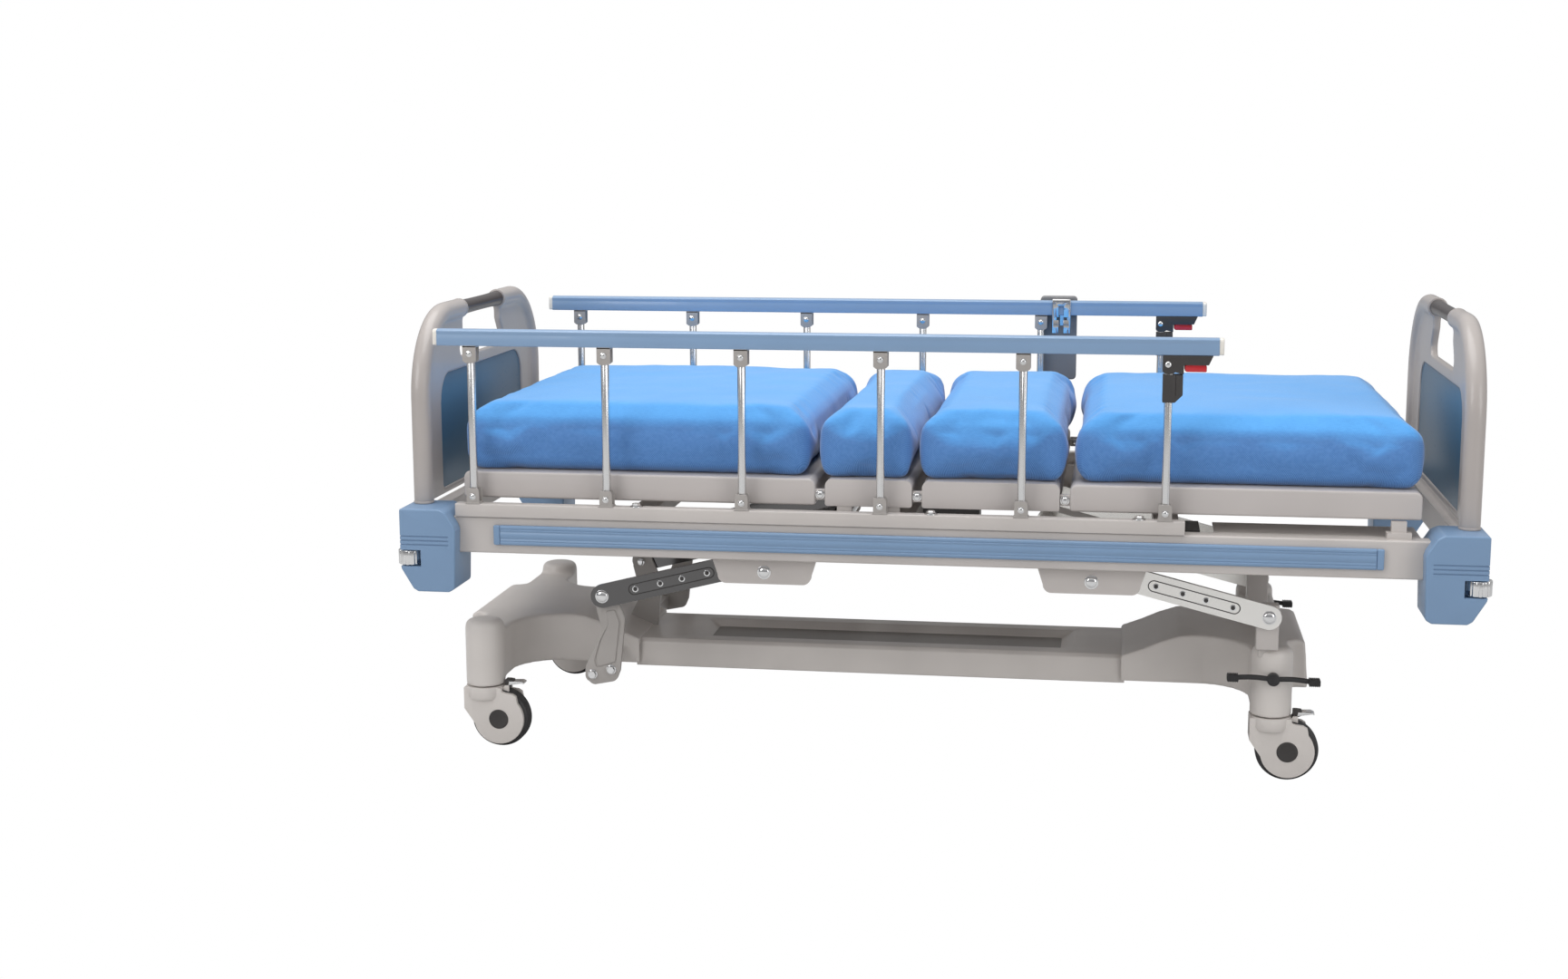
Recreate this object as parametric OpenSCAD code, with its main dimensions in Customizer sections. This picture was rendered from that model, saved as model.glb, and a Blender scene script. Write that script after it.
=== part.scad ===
// Adjustable-height hospital trolley bed on castors, with folding side rails.
// Millimetres. X runs from the head end to the foot end, Y from the near side to the
// far side, Z up. The origin is the middle of the bed on the floor.

/* [Deck sections] */
// Length of the backrest section, up to its hinge
back_len = 735; // [600:5:900]
// Length of the fixed seat section, hinge to hinge
seat_len = 193.5; // [160:0.5:260]
// Length of the thigh section, hinge to hinge
thigh_len = 290; // [230:5:360]
// Length of the leg section, from the knee hinge to the foot end
leg_len = 676.5; // [540:0.5:820]
// Gap between two deck pans
deck_gap = 20; // [18:1:26]
// Height of a deck pan
pan_h = 54; // [46:1:66]
// Wall of a deck pan
pan_wall = 3; // [2:0.5:4]
// Thickness of the mattress
mattress_h = 124; // [90:2:150]

/* [Frame] */
// Width over the side beams
frame_w = 892; // [740:2:1080]
// Height of the side beams' underside above the floor
frame_z = 445; // [440:5:520]
// Height of a side beam
beam_h = 75; // [65:1:85]
// Width of a side beam
beam_t = 40; // [34:1:50]
// Wall of the side beams
beam_wall = 3; // [2:0.5:5]

/* [Lift arms] */
// Distance between an arm's two pivots
arm_len = 462; // [385:1:555]
// Slope of the arms above level, at rest
arm_rise = 14.2; // [12:0.1:17]
// Width of an arm
arm_w = 48; // [40:1:56]
// Thickness of an arm
arm_t = 12; // [8:1:14]

/* [Side rails] */
// Distance between two neighbouring posts
post_pitch = 276.35; // [230:0.05:290]
// Distance between a post's two pivots
post_link = 290; // [240:1:350]
// Width of a post along the bed
post_w = 16; // [13:1:17]
// Thickness of a post across the bed
post_t = 18; // [18:1:21]
// Height of the handrail's profile
rail_h = 34; // [28:1:40]
// Thickness of the handrail's profile
rail_t = 24; // [22:1:26]
// Radius of the rail pivot bolts
rail_bolt_r = 4; // [3:0.5:5]

/* [End boards] */
// Height of the end boards above the corner covers
board_h = 400; // [330:5:480]
// Diameter of the end boards' tube
board_tube_d = 41; // [34:1:48]
// Thickness of the end boards' blue panel
panel_t = 10; // [6:1:14]

/* [Base] */
// Diameter of the castor wheels
wheel_d = 125; // [104:1:150]
// Width of the castor wheels
wheel_w = 36; // [30:1:40]
// Distance that a wheel's axle trails behind its swivel axis
trail = 34; // [28:1:40]
// Diameter of the castor columns
column_d = 82; // [74:1:92]
// Wall of the plastic covers
cover_wall = 3; // [2:0.5:4]

/* [Hidden] */
$fn = 48;
eps = 0.01;

// Clearances
run_gap = 0.05;    // a pin in the hole it turns in
open_gap = 0.5;    // a pivot that the model leaves open
side_gap = 0.5;    // plates that slide past each other
seam = 0.02;       // hairline between members that meet, each a solid of its own

// Side enumeration: near is -Y, far is +Y
near = -1;
far = 1;

// Stations along the bed
deck_len = back_len + seat_len + thigh_len + leg_len;
deck_x0 = -deck_len / 2;
back_hinge_x = deck_x0 + back_len;
thigh_hinge_x = back_hinge_x + seat_len;
knee_hinge_x = thigh_hinge_x + thigh_len;
deck_x1 = deck_len / 2;
frame_x = deck_len / 2 + 67.5;       // half length of the frame
cover_x0 = frame_x - 67;             // inner edge of a corner cover
cover_x1 = frame_x + 50;             // outer edge of a corner cover
board_x = frame_x + 21.5;            // middle plane of an end board

// Stations across the bed
beam_y1 = frame_w / 2;
beam_y0 = beam_y1 - beam_t;
rail_y = beam_y1 - 6;
deck_y = rail_y - rail_t / 2 - 13;
cover_y1 = beam_y1 + 36.5;
cover_y0 = beam_y0 - 36;
arm_y1 = beam_y0 - 36;               // outer face of the outer arms
arm_y0 = arm_y1 - arm_t;
column_y = arm_y1 - 65;

// Heights
beam_z1 = frame_z + beam_h;
bar_h = 27;                          // rail mount bar
bar_z1 = beam_z1 + bar_h;
post_z0 = bar_z1 + 15;               // bottom pivots
post_z1 = post_z0 + post_link;       // top pivots
rail_z0 = post_z1 + 16;
rail_z1 = rail_z0 + rail_h;
deck_z0 = beam_z1 + 34.5;
deck_z1 = deck_z0 + pan_h;
hinge_z = deck_z0 + 21.5;
mattress_z0 = deck_z1;
mattress_z1 = mattress_z0 + mattress_h;
cover_z1 = beam_z1 + 18.5;
cover_z0 = frame_z - 77;

// Lift geometry: the arms' upper pivots sit behind the side beams
upper_pivot_z = frame_z + 13;
lower_pivot_z = upper_pivot_z - arm_len * sin(arm_rise);
lower_pivot_x = 673;
upper_pivot_x = lower_pivot_x - arm_len * cos(arm_rise);
arm_pin_r = 12;
roller_r = 9.2;

// Base
base_cx = -130;                      // middle of the base
column_dx = 816;                     // castor columns from the middle of the base
column_z0 = wheel_d + 7;
column_z1 = column_z0 + 143;
stem_r = 11;
base_z0 = column_z0 + 16;            // underside of the end covers
beam_cover_z0 = column_z0 + 9;
beam_cover_z1 = column_z0 + 68;
beam_cover_y = 137;
beam_cover_dx = 518;                 // half length of the long cover
plateau_z = column_z0 + 119;
end_cover_y = 145;
pedal_z = column_z0 + 85;
pedal_half = 91;
shaft_r = 6;

// Side rails
post_count = 6;
post_x0 = knee_hinge_x + 193 - (post_count - 1) * post_pitch;
last_post = post_count - 1;
rail_x0 = post_x0 - 67;
rail_x1 = post_x(last_post) + 93;
bracket_w = 28;
ear_t = 3;
ear_y = post_t / 2 + side_gap;       // inner face of a bracket's ear
latch_y = ear_y + 4;                 // outer face of the latch cheeks

// Corner knobs
knob_r = 25;
knob_x = cover_x1 - 15;
knob_y = cover_y1 - knob_r;
knob_z0 = frame_z - 23;
knob_h = 30;

// Actuators
crank_lift = 60;                     // lift crank above the torsion tube
crank_back = 56;                     // back crank below the hinge
crank_roller_r = 9;

paint = [0.74, 0.72, 0.71];
blue = [0.51, 0.62, 0.74];
panel_blue = [0.34, 0.48, 0.61];
fabric_blue = [0.25, 0.5, 0.85];
dark = [0.25, 0.24, 0.24];

function post_x(k) = post_x0 + k * post_pitch;
function column_x(end) = base_cx + end * column_dx;

// ---------- helpers ----------

module box(x0, x1, y0, y1, z0, z1) {
    translate([x0, y0, z0]) cube([x1 - x0, y1 - y0, z1 - z0]);
}

// A profile drawn in X and Z, extruded from y0 to y1
module along_y(y0, y1) {
    translate([0, y1, 0]) rotate([90, 0, 0]) linear_extrude(y1 - y0) children();
}

// A profile drawn in Y and Z, extruded from x0 to x1
module along_x(x0, x1) {
    translate([x0, 0, 0]) rotate([90, 0, 90]) linear_extrude(x1 - x0) children();
}

module rod_y(x, z, r, y0, y1) {
    translate([x, y1, z]) rotate([90, 0, 0]) cylinder(r = r, h = y1 - y0);
}

module rod_x(y, z, r, x0, x1) {
    translate([x0, y, z]) rotate([0, 90, 0]) cylinder(r = r, h = x1 - x0);
}

// A rectangle with its lower corners rounded by rb and its upper corners by rt
module round_rect(x0, z0, x1, z1, rb, rt) {
    translate([x0 + rb, z0 + rb]) circle(rb);
    translate([x1 - rb, z0 + rb]) circle(rb);
    translate([x0 + rt, z1 - rt]) circle(rt);
    translate([x1 - rt, z1 - rt]) circle(rt);
    translate([x0 + rb, z0]) square([x1 - x0 - 2 * rb, rb + eps]);
    translate([x0, z0 + rb]) square([x1 - x0, z1 - z0 - rb - rt]);
    translate([x0 + rt, z1 - rt - eps]) square([x1 - x0 - 2 * rt, rt + eps]);
}

// A bar with round ends between two points
module capsule(p, q, r) {
    d = q - p;
    translate(p) circle(r);
    translate(q) circle(r);
    translate(p) rotate(atan2(d[1], d[0])) translate([0, -r]) square([norm(d), 2 * r]);
}

// Children on both sides of the bed
module both_sides() {
    for (side = [near, far]) scale_side(side) children();
}

// Children drawn for the far side, put on one side
module scale_side(side) {
    if (side == far) children();
    else mirror([0, 1, 0]) children();
}

// Children drawn for the foot end, put at one end of the bed
module at_end(end) {
    if (end > 0) children();
    else mirror([1, 0, 0]) children();
}

module both_ends() {
    for (end = [-1, 1]) at_end(end) children();
}

// ---------- base ----------

tube_w = 50;
tube_h = 30;
tube_z0 = base_z0 + 12;
tube_y = 90;
socket_r = 30;
link_tube_x = -lower_pivot_x - 28;
link_tube_w = 24;
link_t = 9;                          // plates under the head end arms
link_seat_y = arm_y0 - link_t;

module castor_socket(end) {
    x = column_x(end);
    difference() {
        translate([x, column_y, column_z0 + 4]) cylinder(r = socket_r, h = 120);
        translate([x, column_y, column_z0 - 10]) cylinder(r = stem_r + run_gap, h = 60);
        if (end > 0) rod_y(x, pedal_z, shaft_r + run_gap, column_y - 60, column_y + 60);
    }
}

module link_tube(y0, y1) {
    box(link_tube_x - link_tube_w / 2, link_tube_x + link_tube_w / 2, y0, y1,
        tube_z0, tube_z0 + tube_h);
}

module chassis_frame() {
    color([0.45, 0.45, 0.46]) {
        both_sides() {
            box(column_x(-1) + tube_w / 2 + seam, column_x(1) - tube_w / 2 - seam,
                tube_y - tube_h / 2, tube_y + tube_h / 2, tube_z0, tube_z0 + tube_h);
            castor_socket(1);
            castor_socket(-1);
        }
        for (end = [-1, 1])
            box(column_x(end) - tube_w / 2, column_x(end) + tube_w / 2,
                -column_y + socket_r - 2, column_y - socket_r + 2, tube_z0, tube_z0 + tube_h);
        // tube between the link plates, in three lengths
        link_tube(-link_seat_y, -tube_y - tube_h / 2 - seam);
        link_tube(-tube_y + tube_h / 2 + seam, tube_y - tube_h / 2 - seam);
        link_tube(tube_y + tube_h / 2 + seam, link_seat_y);
    }
}

tray_x = 407;
tray_y = 84;
tray_depth = 5;

module beam_cover() {
    color(paint) difference() {
        along_x(base_cx - beam_cover_dx, base_cx + beam_cover_dx)
            round_rect(-beam_cover_y, beam_cover_z0, beam_cover_y, beam_cover_z1, 6, 8);
        box(base_cx - beam_cover_dx - 1, base_cx + beam_cover_dx + 1,
            -beam_cover_y + cover_wall, beam_cover_y - cover_wall,
            beam_cover_z0 - 1, beam_cover_z1 - tray_depth - cover_wall);
        translate([0, 0, beam_cover_z1 - tray_depth]) linear_extrude(tray_depth + 1)
            round_rect(base_cx - tray_x, -tray_y, base_cx + tray_x, tray_y, 8, 8);
        middle_link_way();
    }
}

fillet_r = 90;

// Plan of the cross limb that runs out to the castor columns
module limb_plan(inset) {
    half = column_d / 2 - inset;
    for (side = [near, far]) scale_side(side) {
        translate([column_dx, column_y]) circle(half);
        translate([column_dx - half, end_cover_y - 20])
            square([2 * half, column_y - end_cover_y + 20]);
        difference() {
            translate([column_dx - half - fillet_r, end_cover_y - 20])
                square([fillet_r + 1, fillet_r + 20 - inset]);
            translate([column_dx - half - fillet_r, end_cover_y + fillet_r - inset])
                circle(fillet_r);
        }
    }
}

// One end cover as a solid, drawn inset from its outer surface
module end_cover_body(inset) {
    along_y(-end_cover_y + inset, end_cover_y - inset)
        polygon([[beam_cover_dx + inset, base_z0 - inset],
            [beam_cover_dx + inset, beam_cover_z1 + 2 - inset],
            [beam_cover_dx + 142, plateau_z - inset],
            [column_dx + 66 - inset, plateau_z - inset],
            [column_dx + 86 - inset, base_z0 - inset]]);
    translate([0, 0, base_z0 - inset])
        linear_extrude(plateau_z + 4 - base_z0) limb_plan(inset);
    for (side = [near, far]) scale_side(side)
        translate([column_dx, column_y, column_z0 - inset]) rotate_extrude()
            polygon([[0, 0], [column_d / 2 - inset, 0],
                [column_d / 2 - inset, column_z1 - column_z0 - 12],
                [column_d / 2 - inset - 4, column_z1 - column_z0 - 4],
                [column_d / 2 - inset - 12, column_z1 - column_z0],
                [0, column_z1 - column_z0]]);
}

module end_covers() {
    color(paint) difference() {
        for (end = [-1, 1]) translate([base_cx, 0, 0]) at_end(end) difference() {
            end_cover_body(0);
            end_cover_body(cover_wall);
            if (end > 0) rod_y(column_dx, pedal_z, shaft_r + 1,
                -column_y - column_d, column_y + column_d);
        }
        // ways through for the posts, the chassis tubes and the link tube
        both_sides() {
            for (end = [-1, 1]) translate([base_cx + end * beam_cover_dx, 0, 0])
                box(-10, 10, tube_y - tube_h / 2 - 1, tube_y + tube_h / 2 + 1,
                    base_z0 - 1, tube_z0 + tube_h + 1);
            box(post_tongue_x0 - 1, post_tongue_x1 + 1, column_y + 18, column_y + 36,
                plateau_z - 60, column_z1 + 1);
            box(link_tube_x - link_tube_w / 2 - 1, link_tube_x + link_tube_w / 2 + 1,
                end_cover_y - 10, end_cover_y + 10, base_z0 - 1, tube_z0 + tube_h + 1);
        }
        middle_link_way();
        box(lower_pivot_x - 27, lower_pivot_x + 25, centre_arm_y - 33, centre_arm_y + 2,
            plateau_z - 10, plateau_z + 10);
    }
}

// Way through the covers for the middle link plate
module middle_link_way() {
    box(link_tube_x - 18, link_tube_x + 82, centre_arm_y - 12, centre_arm_y + 2,
        base_z0 - 1, plateau_z + 20);
}

// ---------- arm supports ----------

centre_arm_y = 8;                    // inner face of the middle arm
post_x_half = 22.5;
post_tongue_x0 = lower_pivot_x - 18;
post_tongue_x1 = lower_pivot_x + 15;
bolt_head_t = 4;
link_bolts = [[-26, -lower_pivot_z + tube_z0 + tube_h / 2 + 4],
    [14, -lower_pivot_z + tube_z0 + tube_h / 2 + 4]];

// Cranked plate under a head-end arm, about the arm's lower pivot
module link_outline() {
    foot = link_bolts[0];
    circle(arm_w / 2);
    polygon([[-13, -18], [33, -18], [45, -47], [foot[0] + 56, foot[1]],
        [foot[0] + 52, foot[1] - 12], [foot[0] - 4, foot[1] - 15.5],
        [foot[0] - 15.8, foot[1] + 2], [-4, -76]]);
    translate(foot) circle(16);
    translate(link_bolts[1]) circle(16);
}

module link_plate(y0, y1) {
    translate([-lower_pivot_x, 0, lower_pivot_z]) along_y(y0, y1) link_outline();
}

// Pivot bolt with a domed head on the outer side
module pivot_bolt(x, y0, y1) {
    rod_y(x, lower_pivot_z, arm_pin_r - 4, y0, y1);
    translate([x, y1, lower_pivot_z]) rotate([-90, 0, 0]) rotate_extrude()
        intersection() {
            translate([0, -16]) circle(20);
            square([arm_pin_r, bolt_head_t]);
        }
}

module arm_supports() {
    color(paint) {
        both_sides() {
            box(lower_pivot_x - post_x_half - 1, lower_pivot_x + post_x_half - 2,
                arm_y0 - 33, arm_y0 - side_gap, column_z1 + 1, lower_pivot_z + post_x_half);
            box(post_tongue_x0, post_tongue_x1, arm_y0 - 33, arm_y0 - 19,
                column_z0 + 124, column_z1 + 2);
            link_plate(link_seat_y, arm_y0 - side_gap);
        }
        difference() {
            box(lower_pivot_x - post_x_half - 1, lower_pivot_x + post_x_half - 2,
                centre_arm_y - 30, centre_arm_y - side_gap, tube_z0 + tube_h,
                lower_pivot_z + post_x_half);
            // hole for the brake shaft
            rod_y(column_x(1), pedal_z, shaft_r + 1, centre_arm_y - 40, centre_arm_y + 10);
        }
        box(lower_pivot_x - post_x_half - 1, lower_pivot_x + post_x_half - 2,
            -tube_y + tube_h / 2, tube_y - tube_h / 2, tube_z0 + tube_h, tube_z0 + tube_h + 8);
        difference() {
            link_plate(centre_arm_y - link_t, centre_arm_y - side_gap);
            box(link_tube_x - link_tube_w / 2 - seam, link_tube_x + link_tube_w / 2 + seam,
                centre_arm_y - link_t - 1, centre_arm_y, tube_z0 - seam,
                tube_z0 + tube_h + seam);
        }
    }
    color("silver") {
        both_sides() {
            pivot_bolt(lower_pivot_x, arm_y0 - 20, arm_y1 + side_gap);
            pivot_bolt(-lower_pivot_x, link_seat_y, arm_y1 + side_gap);
            for (b = link_bolts)
                translate([b[0] - lower_pivot_x, arm_y0 - side_gap, b[1] + lower_pivot_z])
                    rotate([-90, 0, 0]) cylinder(r = 9, h = 6, $fn = 6);
        }
        pivot_bolt(lower_pivot_x, centre_arm_y - 20, centre_arm_y + arm_t + side_gap);
        pivot_bolt(-lower_pivot_x, centre_arm_y - link_t, centre_arm_y + arm_t + side_gap);
    }
}

// ---------- central brake pedals ----------

pedal_y0 = column_y + column_d / 2 + 4;
pedal_t = 12;
tread_len = 22;

module brake_pedals() {
    x = column_x(1);
    color(dark) {
        rod_y(x, pedal_z, shaft_r, -pedal_y0 - 1, pedal_y0 + 1);
        both_sides() {
            along_y(pedal_y0, pedal_y0 + pedal_t) {
                capsule([x - pedal_half + 12, pedal_z + 1], [x, pedal_z], 5);
                capsule([x, pedal_z], [x + pedal_half - 12, pedal_z - 3], 5);
            }
            rod_y(x, pedal_z, 10, pedal_y0 - 2, pedal_y0 + pedal_t + 2);
            for (e = [-1, 1])
                along_y(pedal_y0 - 3, pedal_y0 + pedal_t + 5)
                    translate([x + e * (pedal_half - tread_len / 2), pedal_z - (e + 1) * 1.5])
                        round_rect(-tread_len / 2, -7, tread_len / 2, 8, 2, 2);
        }
    }
}

// ---------- castors ----------

cheek_r = wheel_d / 2 - 4.5;
cheek_y = wheel_w / 2 + 10;
axle_r = 6;

// Side outline of a castor housing, about the swivel axis on the floor
module castor_outline() {
    left = -column_d / 2;
    right = column_d / 2;
    axle_z = wheel_d / 2;
    top = column_z0 - 2;
    translate([trail, axle_z]) circle(cheek_r);
    polygon([[left, top], [right - 1, top], [right, top - 8], [trail + 36, top - 16],
        [trail + 40, axle_z + 42], [trail, axle_z], [trail - 30, axle_z - 49.6],
        [left + 8, axle_z + 14], [left, axle_z + 24]]);
}

module castor_at(end, side) {
    translate([column_x(end), side * column_y, 0]) children();
}

module castor_housing(end, side) {
    axle_z = wheel_d / 2;
    castor_at(end, side) {
        color(paint) difference() {
            union() {
                intersection() {
                    along_y(-cheek_y, cheek_y) castor_outline();
                    box(-200, 200, -60, 60, 0, column_z0);
                }
                translate([0, 0, axle_z + 24 + 24])
                    cylinder(r = column_d / 2, h = column_z0 - 2 - axle_z - 48);
            }
            rod_y(trail, axle_z, wheel_d / 2 + 2, -wheel_w / 2 - 0.5, wheel_w / 2 + 0.5);
            box(trail - 40, trail + 40, -wheel_w / 2 - 0.5, wheel_w / 2 + 0.5, 0, axle_z);
        }
        color("silver") {
            translate([0, 0, column_z0 - 4]) cylinder(r = stem_r, h = 50);
            rod_y(trail, axle_z, axle_r, -cheek_y + 1, cheek_y - 1);
        }
        color(dark) for (e = [-1, 1]) scale_side(e)
            rod_y(trail, axle_z, 21, cheek_y - 1, cheek_y + 2);
    }
}

module castor_wheel(end, side) {
    r = wheel_d / 2;
    castor_at(end, side) color(dark) translate([trail, 0, r]) rotate([90, 0, 0])
        translate([0, 0, -wheel_w / 2]) rotate_extrude() difference() {
            round_profile(axle_r + run_gap, r, wheel_w, 7);
            translate([r * 0.45, -1]) square([r * 0.3, 5]);
            translate([r * 0.45, wheel_w - 4]) square([r * 0.3, 5]);
        }
}

// Half section of a wheel with a rounded tread
module round_profile(r0, r1, w, edge) {
    square_w = r1 - r0 - edge;
    translate([r0, 0]) square([square_w, w]);
    translate([r0, edge]) square([r1 - r0, w - 2 * edge]);
    for (z = [edge, w - edge]) translate([r1 - edge, z]) circle(edge);
}

lever_px = column_d / 2 + 8;         // pivot of the castor's brake lever
lever_pz = column_z0 - 4;

module castor_lever(end, side) {
    castor_at(end, side) color([0.55, 0.55, 0.57]) difference() {
        along_y(-9, 9) {
            translate([lever_px, lever_pz]) circle(4);
            polygon([[column_d / 2 + 2.5, column_z0 + 2], [lever_px + 4, lever_pz + 1],
                [lever_px + 37, column_z0 + 4], [lever_px + 37, column_z0 + 8],
                [lever_px + 8, column_z0 + 13], [column_d / 2 + 2.5, column_z0 + 13]]);
        }
        rod_y(lever_px, lever_pz, 2 + run_gap, -10, 10);
    }
}

// Lugs that carry the lever, part of the housing
module lever_lugs(end, side) {
    castor_at(end, side) color(paint) {
        for (e = [-1, 1]) scale_side(e) along_y(9.5, 14) {
            translate([lever_px, lever_pz]) circle(4.5);
            translate([column_d / 2 - 3, lever_pz - 2]) square([lever_px - column_d / 2 + 5, 5]);
        }
        rod_y(lever_px, lever_pz, 2, -12, 12);
    }
}

module castor_body(end, side) {
    castor_housing(end, side);
    lever_lugs(end, side);
}

// ---------- lift arms ----------

emboss_r = 12;
torsion_r = 20;

// Outline of an arm from its lower pivot, at the origin, along +X
module arm_outline() {
    difference() {
        capsule([0, 0], [arm_len, 0], arm_w / 2);
        for (d = [73, 127, 174, 228]) translate([d, 0]) circle(3.5);
    }
}

module lift_arm(y0, y1) {
    difference() {
        along_y(y0, y1) arm_outline();
        rod_y(0, 0, arm_pin_r - 4 + run_gap, y0 - 1, y1 + 1);
        // pressed groove around the holes
        along_y(y1 - 1.2, y1 + 1) difference() {
            capsule([70, 0], [232, 0], emboss_r);
            capsule([70, 0], [232, 0], emboss_r - 2.2);
        }
    }
}

// Arms of the head end, sloping up along +X from the pivot
module arm_set() {
    translate([-lower_pivot_x, 0, lower_pivot_z]) rotate([0, -arm_rise, 0]) {
        both_sides() lift_arm(arm_y0, arm_y1);
        lift_arm(centre_arm_y, centre_arm_y + arm_t);
    }
}

crank_y = 60;                        // middle plane of the lift crank

module foot_lift_arms() {
    z = upper_pivot_z;
    color("silver") {
        mirror([1, 0, 0]) arm_set();
        rod_y(upper_pivot_x, z, torsion_r, -arm_y0, arm_y0);
        both_sides() rod_y(upper_pivot_x, z, 10, arm_y1 - 1, beam_y0 - 3);
        for (y = [crank_y - 17, crank_y + 11]) along_y(y, y + 6)
            capsule([upper_pivot_x, z], [upper_pivot_x, z + crank_lift], 13);
        rod_y(upper_pivot_x, z + crank_lift, crank_roller_r, crank_y - 12, crank_y + 12);
    }
}

module head_lift_arms() {
    z = upper_pivot_z;
    color("silver") {
        arm_set();
        rod_y(-upper_pivot_x, z, torsion_r, -arm_y0, arm_y0);
        both_sides() {
            rod_y(-upper_pivot_x, z, 7, arm_y1 - 1, arm_y1 + 12);
            rod_y(-upper_pivot_x, z, roller_r, arm_y1 + 12, beam_y0 - 6);
        }
    }
}

// ---------- bed frame ----------

cross_x = [-600, -60, 470];
cross_w = 50;
cross_z0 = frame_z + 43;
cross_h = 30;
plate_t = 12;
plate_x0 = upper_pivot_x - 6;        // lift plate, inner end
plate_w = 214;
plate_drop = 54;
plate_slope = 12;                    // run of the plate's sloping ends
plate_r = 17;
sheet_x0 = 560;                      // trim sheet inside the side beam
sheet_w = 110;
sheet_t = 3;
channel_x0 = -upper_pivot_x + 40;    // roller track, inner end
channel_len = 368;
channel_t = 3;
end_beam_t = 30;
end_beam_z0 = frame_z + 25;
end_beam_z1 = beam_z1 + 5;

module lift_plate() {
    x1 = plate_x0 + plate_w;
    z1 = frame_z - seam;
    z0 = frame_z - plate_drop;
    along_y(beam_y0 - 4, beam_y0 - 4 + plate_t) {
        polygon([[plate_x0, z1], [x1, z1], [x1 - plate_slope, z0 + plate_r],
            [x1 - plate_slope - plate_r, z0], [plate_x0 + plate_slope + plate_r, z0],
            [plate_x0 + plate_slope, z0 + plate_r]]);
        for (x = [plate_x0 + plate_slope + plate_r, x1 - plate_slope - plate_r])
            translate([x, z0 + plate_r]) circle(plate_r);
    }
    bolt_x = plate_x0 + plate_w / 2;
    rod_y(bolt_x, frame_z - 30, 8, beam_y0 - 10, beam_y0 + 9);
    translate([bolt_x, beam_y0 - 4 + plate_t, frame_z - 30]) rotate([-90, 0, 0])
        rotate_extrude() intersection() {
            translate([0, -16]) circle(20);
            square([12.5, bolt_head_t]);
        }
}

module roller_track() {
    difference() {
        box(channel_x0 - channel_len, channel_x0, arm_y1 + 12.5, beam_y0 - seam,
            upper_pivot_z - roller_r - 0.3 - channel_t, upper_pivot_z + roller_r + 0.3 + channel_t);
        box(channel_x0 - channel_len + channel_t, channel_x0 - channel_t,
            arm_y1, beam_y0 - channel_t,
            upper_pivot_z - roller_r - 0.3, upper_pivot_z + roller_r + 0.3);
    }
}

module bearing_block() {
    difference() {
        along_y(arm_y1 + 6, beam_y0 - seam)
            round_rect(upper_pivot_x - 20, frame_z + seam, upper_pivot_x + 20, frame_z + 36, 2, 12);
        rod_y(upper_pivot_x, upper_pivot_z, 10 + run_gap, arm_y1, beam_y0 - 2.5);
    }
}

module bed_frame() {
    color(paint) {
        both_sides() {
            difference() {
                along_x(-frame_x, frame_x)
                    round_rect(beam_y0, frame_z, beam_y1, beam_z1, 4, 4);
                box(-frame_x - 1, frame_x + 1, beam_y0 + beam_wall, beam_y1 - beam_wall,
                    frame_z + beam_wall, beam_z1 - beam_wall);
            }
            both_ends() lift_plate();
            roller_track();
            bearing_block();
        }
        for (x = cross_x)
            box(x - cross_w / 2, x + cross_w / 2, -beam_y0 + seam, beam_y0 - seam,
                cross_z0, cross_z0 + cross_h);
        both_ends() difference() {
            box(frame_x + seam, frame_x + end_beam_t, -beam_y1, beam_y1, end_beam_z0, end_beam_z1);
            box(frame_x + beam_wall, frame_x + end_beam_t - beam_wall, -beam_y1 + 3, beam_y1 - 3,
                end_beam_z0 + beam_wall, end_beam_z1 - beam_wall);
        }
        // rests under the foot end of the leg section, and the trim sheet along the beam
        both_sides() {
            box(sheet_x0, deck_x1, beam_y0 - sheet_w, beam_y0 - seam, beam_z1 - sheet_t, beam_z1);
            box(deck_x1 - 57, deck_x1 - 29, beam_y0 + 2, beam_y0 + 18, beam_z1 + 11, deck_z0 - 2);
            box(deck_x1 - 66, deck_x1 - 20, beam_y0, beam_y0 + 26, beam_z1 + seam, beam_z1 + 12);
        }
    }
}

// Outline of a bracket ear about its pivot, opening upwards
module ear_outline() {
    h = post_z0 - bar_z1;
    w = bracket_w / 2 - 1;
    polygon([[-w, -h], [w, -h], [w, 9], [w - 2, 14], [w - 7, 17], [-w, 17]]);
}

module rail_mounts() {
    x1 = post_x(last_post) + 38;
    x0 = post_x0 - 38;
    color(paint) both_sides() {
        box(x0, x1, rail_y - 15, rail_y + 13, beam_z1, bar_z1);
        for (k = [0:last_post]) translate([post_x(k), rail_y, post_z0]) {
            for (e = [-1, 1]) scale_side(e) along_y(ear_y, ear_y + ear_t) ear_outline();
            box(-bracket_w / 2 + 1, bracket_w / 2 - 1, -ear_y - eps, ear_y + eps,
                bar_z1 - post_z0 - eps, bar_z1 - post_z0 + 3);
            rod_y(0, 0, rail_bolt_r, -ear_y - ear_t, ear_y + ear_t);
            for (e = [-1, 1]) scale_side(e) rod_y(0, 0, 6, ear_y + ear_t - eps, ear_y + ear_t + 2);
        }
        for (x = [post_x(last_post) - 49, post_x(3) + 100, post_x(1) + 60])
            translate([x, rail_y, bar_z1 - eps]) cylinder(r1 = 11, r2 = 8, h = 6);
    }
}

strip_t = 9;
strip_x = 876;

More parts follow.
